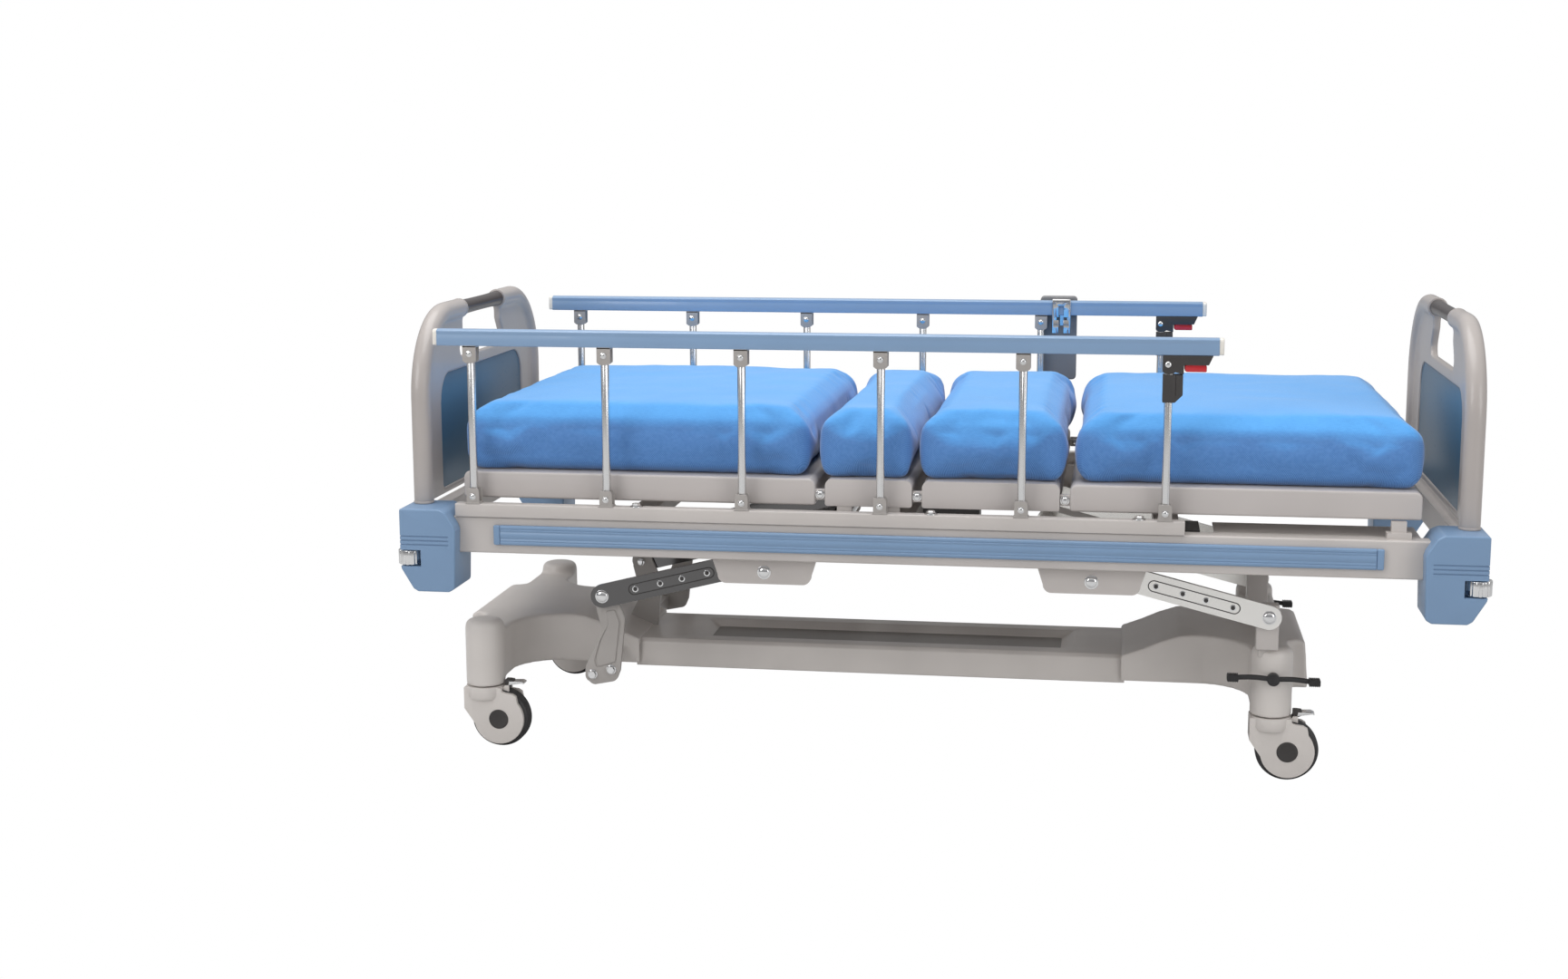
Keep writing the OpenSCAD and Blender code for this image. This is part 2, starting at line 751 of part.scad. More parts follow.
module bumper_strips() {
    z0 = frame_z + 18.5;
    z1 = frame_z + 59;
    end = strip_x + deck_len / 2 - 947.5;
    color(blue) both_sides() difference() {
        union() {
            along_x(-end + 6, end - 6)
                round_rect(beam_y1 - 2, z0, beam_y1 + strip_t, z1, 2, 2);
            for (e = [-1, 1]) along_x(e > 0 ? end - 6 - eps : -end, e > 0 ? end : -end + 6 + eps)
                round_rect(beam_y1 - 2, z0 + 3, beam_y1 + strip_t - 2, z1 - 3, 1, 1);
        }
        box(-end - 1, end + 1, beam_y1 - 4, beam_y1, z0 - 1, z1 + 1);
    }
}

module cover_outline() {
    z0 = cover_z0;
    z1 = cover_z1;
    difference() {
        union() {
            polygon([[cover_x0 + 4, z0 + 8], [cover_x0 + 12, z0], [cover_x1 - 36, z0],
                [cover_x1 - 26, z0 + 6], [cover_x1 - 2, z0 + 46], [cover_x1, z0 + 56],
                [cover_x1, z1], [cover_x0 + 40, z1], [cover_x0 + 24, z1 - 6],
                [cover_x0 + 3, z1 - 34], [cover_x0, z1 - 44]]);
        }
        for (k = [0:2]) translate([cover_x1 - 102, frame_z + 19 + k * 8.5]) square([114, 3]);
    }
}

module corner_covers() {
    color(blue) both_sides() both_ends() difference() {
        union() {
            along_y(cover_y1 - 6, cover_y1) cover_outline();
            along_y(cover_y0, cover_y1 - 5.5) union() {
                cover_outline();
                translate([cover_x1 - 106, frame_z + 15]) square([104, 28]);
            }
        }
        // hollow for the beam's end and the end beam
        box(cover_x0 - 1, frame_x + 0.5, beam_y0 - 0.5, beam_y1 + 0.5,
            frame_z - 0.5, beam_z1 + 0.5);
        box(frame_x - 1, frame_x + end_beam_t + 0.5, cover_y0 - 1, beam_y1 + 0.5,
            end_beam_z0 - 0.5, end_beam_z1 + 0.5);
        // hollow underneath
        box(cover_x0 + 16, cover_x1 - 40, cover_y0 + 4, cover_y1 - 4, cover_z0 - 1, frame_z - 6);
        // pocket for the knob
        translate([knob_x, knob_y, knob_z0 - 2]) cylinder(r = knob_r + 2, h = knob_h + 4);
        // socket for the board's peg
        translate([board_x, board_post_y, end_beam_z1]) cylinder(r = 12.2, h = 40);
    }
    color("silver") both_sides() both_ends()
        translate([knob_x, knob_y, knob_z0 - 8]) cylinder(r = 4, h = 46);
}

module corner_knob(end, side) {
    flutes = 14;
    color("silver") scale_side(side) at_end(end) translate([knob_x, knob_y, knob_z0])
        difference() {
            cylinder(r = knob_r, h = knob_h);
            translate([0, 0, -1]) cylinder(r = 4 + run_gap, h = knob_h + 2);
            for (k = [0:flutes - 1]) rotate([0, 0, 360 / flutes * k])
                translate([knob_r + 2, 0, -1]) cylinder(r = 3.4, h = knob_h + 2);
        }
}

// ---------- end boards ----------

board_post_y = beam_y0 - 1;
board_r = 165;
board_z0 = cover_z1;
tube_r = board_tube_d / 2;
board_z1 = board_z0 + board_h - tube_r;      // middle of the top tube
grip_y = 138;
grip_r = 16;
web_t = 16;
window_y = board_post_y - 107;
window_z0 = board_z0 + 14;
window_z1 = board_z1 - 128;
slot_z0 = window_z1 + 25;
web_y = board_post_y - tube_r + 4;

module board_web() {
    along_x(board_x - web_t / 2, board_x + web_t / 2) difference() {
        round_rect(-web_y, board_z0 + 1, web_y, board_z1, 1, board_r - tube_r + 4);
        round_rect(-window_y, window_z0, window_y, window_z1, 4, 60);
        polygon([[-grip_y - 40, slot_z0], [grip_y + 40, slot_z0],
            [grip_y, slot_z0 + 60], [grip_y, board_z1 + 40],
            [-grip_y, board_z1 + 40], [-grip_y, slot_z0 + 60]]);
    }
}

module board_corner(side) {
    translate([board_x, side * (board_post_y - board_r), board_z1 - board_r])
        rotate([0, 90, 0]) rotate([0, 0, side > 0 ? 90 : 180])
            rotate_extrude(angle = 90) translate([board_r, 0]) circle(tube_r);
}

module end_board_frames() {
    color(paint) both_ends() {
        board_web();
        for (side = [near, far]) {
            board_corner(side);
            scale_side(side) {
                translate([board_x, board_post_y, board_z0])
                    cylinder(r = tube_r, h = board_z1 - board_r - board_z0 + eps);
                translate([board_x, board_post_y, end_beam_z1 + 1]) cylinder(r = 12, h = 30);
                translate([board_x, 0, board_z1]) rotate([-90, 0, 0])
                    translate([0, 0, grip_y]) cylinder(r = tube_r, h = board_post_y - board_r - grip_y + eps);
            }
        }
    }
}

module end_board_panels() {
    color(panel_blue) both_ends()
        along_x(board_x - panel_t / 2, board_x + panel_t / 2)
            round_rect(-window_y + 0.1, window_z0 + 0.1, window_y - 0.1, window_z1 - 0.1, 4, 60);
}

module end_board_grips() {
    color([0.2, 0.15, 0.15]) both_ends()
        translate([board_x, -grip_y, board_z1]) rotate([-90, 0, 0])
            cylinder(r = grip_r, h = 2 * grip_y);
}

// ---------- drives ----------

back_rod_z = hinge_z - 48;
back_y = -70;
rod_r = 8;
push_t = 8;
lift_rod_z = upper_pivot_z + crank_lift - 4;
lift_push_x = upper_pivot_x - crank_roller_r - 1;
back_push_x = back_hinge_x + crank_roller_r + 1;

module lift_actuator_rod() {
    color("silver") {
        rod_x(crank_y, lift_rod_z, rod_r, lift_push_x - 180, lift_push_x - push_t);
        box(lift_push_x - push_t, lift_push_x, crank_y - 7, crank_y + 7,
            lift_rod_z - 26, lift_rod_z + 16);
    }
}

module back_actuator_rod() {
    color("silver") {
        rod_x(back_y, back_rod_z, rod_r, back_push_x + push_t, back_push_x + 234);
        box(back_push_x, back_push_x + push_t, back_y - 14, back_y + 14,
            back_rod_z - 24, deck_z0 - 4);
    }
}

module actuator_tube(y, z, x0, x1) {
    difference() {
        rod_x(y, z, 17, x0, x1);
        rod_x(y, z, rod_r + run_gap, x0 - 1, x1 + 1);
    }
}

module drive_units() {
    color([0.3, 0.3, 0.32]) {
        // lift drive, hung from the middle cross member
        actuator_tube(crank_y, lift_rod_z, lift_push_x - 190, lift_push_x - 32);
        box(cross_x[1] + cross_w / 2, lift_push_x - 190, crank_y - 30, crank_y + 30,
            cross_z0 - 20, cross_z0 + 46);
        // back drive, behind the middle cross member
        difference() {
            box(cross_x[1] + cross_w / 2, cross_x[1] + cross_w / 2 + 120, back_y - 34,
                back_y + 24, back_rod_z - 50, deck_z0 - 6);
            rod_x(back_y, back_rod_z, rod_r + run_gap, cross_x[1], cross_x[1] + 300);
        }
        // control box under the leg section
        box(cross_x[2] - 90, cross_x[2] + 70, -220, -110, cross_z0 - 38, cross_z0);
    }
}

// ---------- deck ----------

pan_edge = 14;
lug_r = 7;
lug_t = 8;
hinge_bolt_r = 4;
block_w = 19;
block_y0 = deck_y - 16;              // visible hinge block
block_y1 = deck_y - 6;

// A hollow moulded panel, closed all round
module pan(x0, x1) {
    difference() {
        along_y(-deck_y, deck_y) round_rect(x0, deck_z0, x1, deck_z1, 4, pan_edge);
        along_y(-deck_y + 34, deck_y - 34)
            round_rect(x0 + pan_wall, deck_z0 + pan_wall, x1 - pan_wall, deck_z1 - pan_wall,
                2, pan_edge - pan_wall);
    }
}

// A hinge's visible square block with its boss, fixed to the pan that ends at x
module hinge_block(hinge_x, pan_end) {
    toward = pan_end < hinge_x ? -1 : 1;
    difference() {
        along_y(block_y0, block_y1) union() {
            translate([hinge_x - block_w / 2, hinge_z - 11]) square([block_w, 22]);
            translate([min(hinge_x, pan_end + toward * 6), hinge_z - 11])
                square([abs(pan_end + toward * 6 - hinge_x), 22]);
        }
        rod_y(hinge_x, hinge_z, hinge_bolt_r + run_gap, block_y0 - 1, block_y1 + 1);
    }
}

// Inner lug that holds the hinge bolt, fixed to the pan that ends at x
module hinge_lug(hinge_x, pan_end) {
    toward = pan_end < hinge_x ? -1 : 1;
    y1 = block_y0 - 1;
    along_y(y1 - lug_t, y1)
        capsule([hinge_x, hinge_z], [pan_end + toward * 4, hinge_z], lug_r);
    rod_y(hinge_x, hinge_z, hinge_bolt_r, y1 - 1, block_y1 + 1);
    translate([hinge_x, block_y1 + side_gap, hinge_z]) rotate([-90, 0, 0])
        cylinder(r = 8, h = 1.5);
    translate([hinge_x, block_y1 + side_gap + 1, hinge_z]) rotate([-90, 0, 0])
        cylinder(r = 6.4, h = 4, $fn = 6);
}

// Room in a pan for the swing of the other pan's block and lug
module hinge_room(hinge_x) {
    rod_y(hinge_x, hinge_z, block_w * 0.78 + 1.5, block_y0 - lug_t - 3, block_y1 + 1);
}

module seat_deck() {
    x0 = back_hinge_x + deck_gap / 2;
    x1 = thigh_hinge_x - deck_gap / 2;
    color(paint) {
        difference() {
            pan(x0, x1);
            both_sides() {
                hinge_room(back_hinge_x);
                hinge_room(thigh_hinge_x);
            }
        }
        both_sides() {
            hinge_lug(back_hinge_x, x0 + pan_wall);
            hinge_lug(thigh_hinge_x, x1 - pan_wall);
            // stand-offs on the side beams
            for (x = [x0 + 24, x1 - 54])
                box(x, x + 30, deck_y - 14, deck_y - 1, beam_z1, deck_z0 + 4);
        }
    }
}

module back_deck() {
    x1 = back_hinge_x - deck_gap / 2;
    color(paint) {
        pan(deck_x0, x1);
        both_sides() hinge_block(back_hinge_x, x1);
        // crank that the back drive pushes
        for (y = [back_y - 22, back_y + 16]) along_y(y, y + 6) {
            capsule([back_hinge_x, hinge_z - crank_back], [back_hinge_x - 24, deck_z0 + 2], 9);
            translate([back_hinge_x - 70, deck_z0 - 8]) square([50, 9]);
        }
        rod_y(back_hinge_x, hinge_z - crank_back, crank_roller_r, back_y - 17, back_y + 17);
    }
}

module thigh_deck() {
    x0 = thigh_hinge_x + deck_gap / 2;
    x1 = knee_hinge_x - deck_gap / 2;
    color(paint) {
        difference() {
            pan(x0, x1);
            both_sides() hinge_room(knee_hinge_x);
        }
        both_sides() {
            hinge_block(thigh_hinge_x, x0);
            hinge_lug(knee_hinge_x, x1 - pan_wall);
        }
    }
}

module leg_deck() {
    x0 = knee_hinge_x + deck_gap / 2;
    color(paint) {
        pan(x0, deck_x1);
        both_sides() hinge_block(knee_hinge_x, x0);
    }
}

cushion_edge = 26;
cushion_gap = 1.5;                   // half the gap between two cushions

module cushion(x0, x1) {
    color(fabric_blue) along_y(-deck_y + 1, deck_y - 1)
        round_rect(x0, mattress_z0, x1, mattress_z1, cushion_edge, cushion_edge);
}

// ---------- side rails ----------

module post_profile() {
    d = (post_t - post_w) / 2;
    for (e = [-1, 1]) translate([0, e * d]) circle(post_w / 2);
    translate([-post_w / 2, -d]) square([post_w, 2 * d]);
}

module rail_post(k, side) {
    leads = k == last_post;
    translate([post_x(k), side * rail_y, 0]) {
        color("silver") difference() {
            translate([0, 0, post_z0 - 8]) linear_extrude(post_link + 16) post_profile();
            rod_y(0, post_z0, rail_bolt_r + run_gap, -post_t, post_t);
            rod_y(0, post_z1, rail_bolt_r + (leads ? run_gap : open_gap), -post_t, post_t);
        }
        if (leads) color(dark) difference() {
            along_y(-latch_y, latch_y) translate([0, post_z1])
                polygon([[-11.5, -21], [26.5, -21], [26.5, -60], [12, -74.5], [-11.5, -74.5]]);
            translate([0, 0, post_z1 - 80]) linear_extrude(70) post_profile();
        }
    }
}

module handrail(side) {
    wall = 2.5;
    crown = 6;
    color(blue) translate([0, side * rail_y, 0]) {
        difference() {
            along_x(rail_x0, rail_x1)
                round_rect(-rail_t / 2, rail_z0, rail_t / 2, rail_z1, 2, crown);
            along_x(rail_x0 + wall, rail_x1 - wall)
                round_rect(-rail_t / 2 + wall, rail_z0 + wall, rail_t / 2 - wall,
                    rail_z1 - wall, 1, crown - wall);
        }
        for (e = [-1, 1]) along_x(e > 0 ? rail_x1 - eps : rail_x0 - 9, e > 0 ? rail_x1 + 9 : rail_x0 + eps)
            round_rect(-rail_t / 2 + 0.5, rail_z0 + 1, rail_t / 2 - 0.5, rail_z1 - 1, 4, 6);
    }
    color(paint) for (k = [0:last_post - 1]) translate([post_x(k), side * rail_y, post_z1]) {
        top = rail_z0 - post_z1;
        w = bracket_w / 2;
        for (e = [-1, 1]) scale_side(e) {
            along_y(ear_y, ear_y + ear_t - 1)
                polygon([[-w, top + eps], [w, top + eps], [w, -13], [w - 6, -18.5], [-w + 6, -18.5],
                    [-w, -13]]);
            rod_y(0, 0, 6, ear_y + ear_t - 1 - eps, ear_y + ear_t + 1);
        }
        box(-w, w, -ear_y - eps, ear_y + eps, top - 3, top + eps);
        rod_y(0, 0, rail_bolt_r, -ear_y - 1, ear_y + 1);
    }
}

trigger_x0 = 28.5;                   // from the end post
trigger_x1 = 70.5;
trigger_travel = 4;

module rail_latch(side) {
    top = rail_z0 - post_z1;
    color(dark) translate([post_x(last_post), side * rail_y, post_z1]) {
        difference() {
            along_y(-latch_y, latch_y) union() {
                intersection() {
                    circle(20);
                    translate([-12, -22]) square([40, 22 + top]);
                }
                polygon([[0, -19.9], [27.5, -19.9], [27.5, -2], [74, -2], [82, top],
                    [-12, top], [-12, 0], [0, 0]]);
            }
            // slot for the end of the post
            box(-14, post_w / 2 + 6, -ear_y, ear_y, -24, 12);
            // pocket for the trigger
            box(trigger_x0 - 0.4, trigger_x1 + 0.4, -latch_y + 3, latch_y - 3, -3,
                trigger_travel + 4);
        }
        rod_y(0, 0, rail_bolt_r, -latch_y + 1, latch_y - 1);
        for (e = [-1, 1]) scale_side(e) rod_y(-2, -1.5, 5, latch_y - eps, latch_y + 1.2);
    }
}

module rail_trigger(side) {
    color([0.75, 0.15, 0.18]) translate([post_x(last_post), side * rail_y, post_z1]) {
        along_y(-latch_y + 3.4, latch_y - 3.4) difference() {
            union() {
                translate([trigger_x0, -16]) square([trigger_x1 - trigger_x0, 13]);
                translate([trigger_x0 + 2, -4]) square([trigger_x1 - trigger_x0 - 4, 5]);
            }
            translate([trigger_x0 + 18, -24]) circle(10);
        }
    }
}

// ---------- handset ----------

handset_w = 85;
handset_t = 24;
handset_h = 195;
handset_x0 = 185;
handset_y0 = rail_y + rail_t / 2 + 5.5;
handset_top = rail_z1 + 8;
hook_x0 = handset_x0 + 29;
hook_x1 = hook_x0 + 41;
hook_t = 2;

module handset() {
    z0 = handset_top - handset_h;
    x1 = handset_x0 + handset_w;
    back_y0 = handset_y0 - hook_t;
    front_y0 = rail_y - rail_t / 2 - 0.5 - hook_t;
    color([0.37, 0.38, 0.41]) {
        along_y(handset_y0, handset_y0 + handset_t)
            round_rect(handset_x0, z0, x1, handset_top, 5, 5);
        translate([(handset_x0 + x1) / 2 + 8, handset_y0 + handset_t / 2, z0 - 14])
            cylinder(r1 = 4.5, r2 = 6, h = 14 + eps);
    }
    color("silver") {
        box(hook_x0, hook_x1, back_y0, handset_y0 + eps, rail_z1 - 60, rail_z1 + 2.5);
        box(hook_x0, hook_x1, front_y0, handset_y0 + eps, rail_z1 + 0.5, rail_z1 + 2.5);
        difference() {
            box(hook_x0, hook_x1, front_y0, front_y0 + hook_t, rail_z1 - 75, rail_z1 + 2.5);
            box(hook_x0 + 14, hook_x1 - 15, front_y0 - 1, front_y0 + 3, rail_z1 - 76, rail_z1 - 12);
            box(hook_x0 + 4, hook_x1 - 4, front_y0 - 1, front_y0 + 3, rail_z1 - 44, rail_z1 - 37);
        }
    }
}

// ---------- assembly ----------

chassis_frame();
beam_cover();
end_covers();
arm_supports();
brake_pedals();
castor_body(1, near);  // castor_housing_foot_near
castor_body(1, far);  // castor_housing_foot_far
castor_body(-1, near);  // castor_housing_head_near
castor_body(-1, far);  // castor_housing_head_far
castor_wheel(1, near);  // castor_wheel_foot_near
castor_wheel(1, far);  // castor_wheel_foot_far
castor_wheel(-1, near);  // castor_wheel_head_near
castor_wheel(-1, far);  // castor_wheel_head_far
castor_lever(1, near);  // castor_lever_foot_near
castor_lever(1, far);  // castor_lever_foot_far
castor_lever(-1, near);  // castor_lever_head_near
castor_lever(-1, far);  // castor_lever_head_far
foot_lift_arms();
head_lift_arms();
bed_frame();
rail_mounts();
bumper_strips();
corner_covers();
corner_knob(1, near);  // corner_knob_foot_near
corner_knob(1, far);  // corner_knob_foot_far
corner_knob(-1, near);  // corner_knob_head_near
corner_knob(-1, far);  // corner_knob_head_far
drive_units();
lift_actuator_rod();
back_actuator_rod();
seat_deck();
cushion(back_hinge_x - deck_gap / 2 - 1 + cushion_gap, thigh_hinge_x - 6 - cushion_gap);  // seat_cushion
end_board_frames();
end_board_panels();
end_board_grips();
back_deck();
cushion(deck_x0 - 14, back_hinge_x - deck_gap / 2 - 1 - cushion_gap);  // back_cushion
thigh_deck();
cushion(thigh_hinge_x - 6 + cushion_gap, knee_hinge_x + 8 - cushion_gap);  // thigh_cushion
leg_deck();
cushion(knee_hinge_x + 8 + cushion_gap, deck_x1 + 14);  // leg_cushion
handrail(near);  // handrail_near
handrail(far);  // handrail_far
rail_post(0, near);  // rail_post_near_0
rail_post(1, near);  // rail_post_near_1
rail_post(2, near);  // rail_post_near_2
rail_post(3, near);  // rail_post_near_3
rail_post(4, near);  // rail_post_near_4
rail_post(5, near);  // rail_post_near_5
rail_post(0, far);  // rail_post_far_0
rail_post(1, far);  // rail_post_far_1
rail_post(2, far);  // rail_post_far_2
rail_post(3, far);  // rail_post_far_3
rail_post(4, far);  // rail_post_far_4
rail_post(5, far);  // rail_post_far_5
rail_latch(near);  // rail_latch_near
rail_latch(far);  // rail_latch_far
rail_trigger(near);  // rail_trigger_near
rail_trigger(far);  // rail_trigger_far
handset();
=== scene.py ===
"""Looks of the adjustable hospital trolley bed: materials, moulded covers, rails, castors and mattress.

Lengths are in millimetres and become metres when a piece is made. X runs to the foot end, Y to the
far side, Z up.
"""

import math

import bmesh
import bpy
from mathutils import Matrix, Vector, noise


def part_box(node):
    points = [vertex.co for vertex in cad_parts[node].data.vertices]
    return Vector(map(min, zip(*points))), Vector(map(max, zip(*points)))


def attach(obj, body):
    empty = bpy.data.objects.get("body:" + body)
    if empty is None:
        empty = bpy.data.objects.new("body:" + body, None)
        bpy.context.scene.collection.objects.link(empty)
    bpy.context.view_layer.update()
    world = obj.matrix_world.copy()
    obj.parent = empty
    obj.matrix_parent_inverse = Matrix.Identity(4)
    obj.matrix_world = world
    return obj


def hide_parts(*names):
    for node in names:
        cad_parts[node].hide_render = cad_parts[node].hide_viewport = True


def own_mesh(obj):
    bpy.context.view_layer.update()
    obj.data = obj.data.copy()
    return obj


MM = 0.001
SIDES = {"near": -1, "far": 1}
ENDS = {"head": -1, "foot": 1}

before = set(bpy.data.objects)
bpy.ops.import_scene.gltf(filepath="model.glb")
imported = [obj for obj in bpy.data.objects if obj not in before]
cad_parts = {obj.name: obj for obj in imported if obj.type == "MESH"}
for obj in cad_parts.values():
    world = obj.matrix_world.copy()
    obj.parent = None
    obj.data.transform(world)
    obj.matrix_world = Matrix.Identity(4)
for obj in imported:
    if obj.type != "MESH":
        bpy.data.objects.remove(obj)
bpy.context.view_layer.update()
scene = bpy.context.scene


def node_span(node):
    """Lowest and highest corner of a CAD node, in millimetres."""
    low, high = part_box(node)
    return low / MM, high / MM


# ---------------------------------------------------------------- sizes read from the frame

BEAM_Y = 446
FRAME_LOW, FRAME_HIGH = 445, 520
BAR_TOP = node_span("rail_mounts")[0].z + 27
RAIL_Y = 440
LINK_LOW_Z, LINK_HIGH_Z = 562, 852
POST_X = [(node_span(f"rail_post_near_{k}")[0].x + node_span(f"rail_post_near_{k}")[1].x) / 2
          for k in range(5)]
POST_X.append(2 * POST_X[4] - POST_X[3])
END_POST_X = POST_X[5]
DECK_LOW, DECK_HIGH = node_span("leg_deck")
DECK_TOP = DECK_HIGH.z
PAN_BOTTOM = DECK_LOW.z
DECK_Y = 415
HINGE_Z = PAN_BOTTOM + 21.5
BACK_HINGE = node_span("seat_cushion")[0].x + 9.5
THIGH_HINGE = node_span("seat_cushion")[1].x + 7.5
KNEE_HINGE = node_span("thigh_cushion")[1].x - 6.5
BOARD_X = 1036.5
BOARD_POST_Y = 405
TUBE_R = 20.5
BOARD_BOTTOM, BOARD_TOP = 538.5, 918
BOARD_CORNER_R = 165
GRIP_HALF = 138
BASE_X = -130
COLUMN_DX, COLUMN_Y, COLUMN_R = 816, 305, 41
WHEEL_R, TRAIL = 62.5, 34
SWELL_LIMIT = 13
ARM_PIVOT_X, ARM_PIVOT_Z, ARM_RISE = 673, 344.67, 14.2
KNOB_X, KNOB_Y = 1050, 457.5


# ---------------------------------------------------------------- shader groups

def new_group(name, inputs, outputs):
    """An empty shader group with its sockets; returns the group, its nodes and its input and output nodes."""
    group = bpy.data.node_groups.new(name, "ShaderNodeTree")
    for label, default in inputs:
        socket = group.interface.new_socket(label, in_out="INPUT", socket_type="NodeSocketFloat")
        socket.default_value = default
    for label, kind in outputs:
        group.interface.new_socket(label, in_out="OUTPUT", socket_type=kind)
    return group, group.nodes.new("NodeGroupInput"), group.nodes.new("NodeGroupOutput")


def math_node(tree, operation, a, b):
    node = tree.nodes.new("ShaderNodeMath")
    node.operation = operation
    for socket, value in zip(node.inputs, (a, b)):
        if isinstance(value, (int, float)):
            socket.default_value = value
        else:
            tree.links.new(value, socket)
    return node.outputs[0]


def noise_field(tree, scale, detail=3.0, stretch=(1, 1, 1)):
    """Noise over the piece's own coordinates, stretched along the axes."""
    place = tree.nodes.new("ShaderNodeTexCoord")
    mapping = tree.nodes.new("ShaderNodeMapping")
    mapping.inputs["Scale"].default_value = stretch
    field = tree.nodes.new("ShaderNodeTexNoise")
    field.inputs["Detail"].default_value = detail
    tree.links.new(place.outputs["Object"], mapping.inputs["Vector"])
    tree.links.new(mapping.outputs[0], field.inputs["Vector"])
    if isinstance(scale, (int, float)):
        field.inputs["Scale"].default_value = scale
    else:
        tree.links.new(scale, field.inputs["Scale"])
    return field.outputs["Fac"]


def build_moulding_grain():
    """Fine orange peel of a moulded or powder coated skin, with a slow tint drift and light scuffs."""
    group, given, out = new_group(
        "Moulding Grain", [("Scale", 900.0), ("Depth", 0.5), ("Scuffs", 0.3)],
        [("Height", "NodeSocketFloat"), ("Tint", "NodeSocketFloat"), ("Scuff", "NodeSocketFloat")])
    fine = noise_field(group, given.outputs["Scale"], 2.0)
    drift = noise_field(group, 6.0, 2.0)
    marks = noise_field(group, 35.0, 6.0, (1, 1, 4))
    worn = math_node(group, "MULTIPLY", math_node(group, "GREATER_THAN", marks, 0.66),
                     given.outputs["Scuffs"])
    group.links.new(math_node(group, "MULTIPLY", fine, given.outputs["Depth"]), out.inputs["Height"])
    group.links.new(drift, out.inputs["Tint"])
    group.links.new(worn, out.inputs["Scuff"])
    return group


def build_fabric_weave():
    """A fine plain weave: two crossed sets of threads and the slubs in them."""
    group, given, out = new_group(
        "Fabric Weave", [("Threads", 420.0), ("Slub", 0.35)],
        [("Height", "NodeSocketFloat"), ("Shade", "NodeSocketFloat")])
    place = group.nodes.new("ShaderNodeTexCoord")
    split = group.nodes.new("ShaderNodeSeparateXYZ")
    group.links.new(place.outputs["Object"], split.inputs[0])
    across = math_node(group, "ADD", split.outputs["Y"], split.outputs["Z"])
    threads = []
    for line in (split.outputs["X"], across):
        turned = math_node(group, "MULTIPLY", line, math_node(group, "MULTIPLY",
                                                              given.outputs["Threads"], 6.283))
        threads.append(math_node(group, "SINE", turned, 0.0))
    crossed = math_node(group, "MULTIPLY", threads[0], threads[1])
    slubs = noise_field(group, 120.0, 3.0, (1, 6, 1))
    height = math_node(group, "ADD", math_node(group, "MULTIPLY", crossed, 0.3),
                       math_node(group, "MULTIPLY", slubs, given.outputs["Slub"]))
    group.links.new(height, out.inputs["Height"])
    group.links.new(math_node(group, "ADD", math_node(group, "MULTIPLY", height, 0.35), 0.4),
                    out.inputs["Shade"])
    return group


def build_brushed_lines():
    """Fine drawn lines of polished or brushed metal, along X."""
    group, given, out = new_group(
        "Brushed Lines", [("Scale", 160.0), ("Strength", 0.3)],
        [("Height", "NodeSocketFloat"), ("Gloss", "NodeSocketFloat")])
    lines = noise_field(group, given.outputs["Scale"], 4.0, (0.08, 3, 3))
    group.links.new(math_node(group, "MULTIPLY", lines, given.outputs["Strength"]),
                    out.inputs["Height"])
    group.links.new(math_node(group, "MULTIPLY", lines, given.outputs["Strength"]),
                    out.inputs["Gloss"])
    return group


MOULDING_GRAIN = build_moulding_grain()
FABRIC_WEAVE = build_fabric_weave()
BRUSHED_LINES = build_brushed_lines()


# ---------------------------------------------------------------- materials

def linear(red, green, blue):
    """An 8-bit display colour as linear values."""
    return tuple((((c / 255) + 0.055) / 1.055) ** 2.4 if c > 10 else c / 3294.6
                 for c in (red, green, blue))


def start_material(name):
    material = bpy.data.materials.new(name)
    material.use_nodes = True
    return material, material.node_tree, material.node_tree.nodes["Principled BSDF"]


def add_group(tree, group, **values):
    node = tree.nodes.new("ShaderNodeGroup")
    node.node_tree = group
    for label, value in values.items():
        node.inputs[label].default_value = value
    return node


def add_bump(tree, shader, height, strength, distance=0.0004):
    bump = tree.nodes.new("ShaderNodeBump")
    bump.inputs["Strength"].default_value = strength
    bump.inputs["Distance"].default_value = distance
    tree.links.new(height, bump.inputs["Height"])
    tree.links.new(bump.outputs[0], shader.inputs["Normal"])


def ramp(tree, value, low, high, start=0.3, stop=0.7):
    """Colour that goes from low to high as value goes from start to stop."""
    node = tree.nodes.new("ShaderNodeValToRGB")
    node.color_ramp.elements[0].position = start
    node.color_ramp.elements[1].position = stop
    node.color_ramp.elements[0].color = (*low, 1)
    node.color_ramp.elements[1].color = (*high, 1)
    tree.links.new(value, node.inputs[0])
    return node.outputs[0]


def span(tree, value, low, high):
    """Value from 0..1 mapped to low..high."""
    node = tree.nodes.new("ShaderNodeMapRange")
    node.inputs["To Min"].default_value = low
    node.inputs["To Max"].default_value = high
    tree.links.new(value, node.inputs["Value"])
    return node.outputs[0]


def moulded_material(name, colour, roughness=0.42, scuffs=0.25, depth=0.4, drift=0.05, coat=0.0):
    """Moulded plastic or powder coat in one colour, with orange peel, tint drift and scuffs."""
    material, tree, shader = start_material(name)
    grain = add_group(tree, MOULDING_GRAIN, Scale=800.0, Depth=depth, Scuffs=scuffs)
    base = linear(*colour)
    tone = ramp(tree, grain.outputs["Tint"], [c * (1 - drift) for c in base],
                [min(1, c * (1 + drift)) for c in base])
    tree.links.new(tone, shader.inputs["Base Color"])
    tree.links.new(span(tree, grain.outputs["Scuff"], roughness, roughness + 0.25),
                   shader.inputs["Roughness"])
    shader.inputs["Coat Weight"].default_value = coat
    add_bump(tree, shader, grain.outputs["Height"], 0.12)
    return material


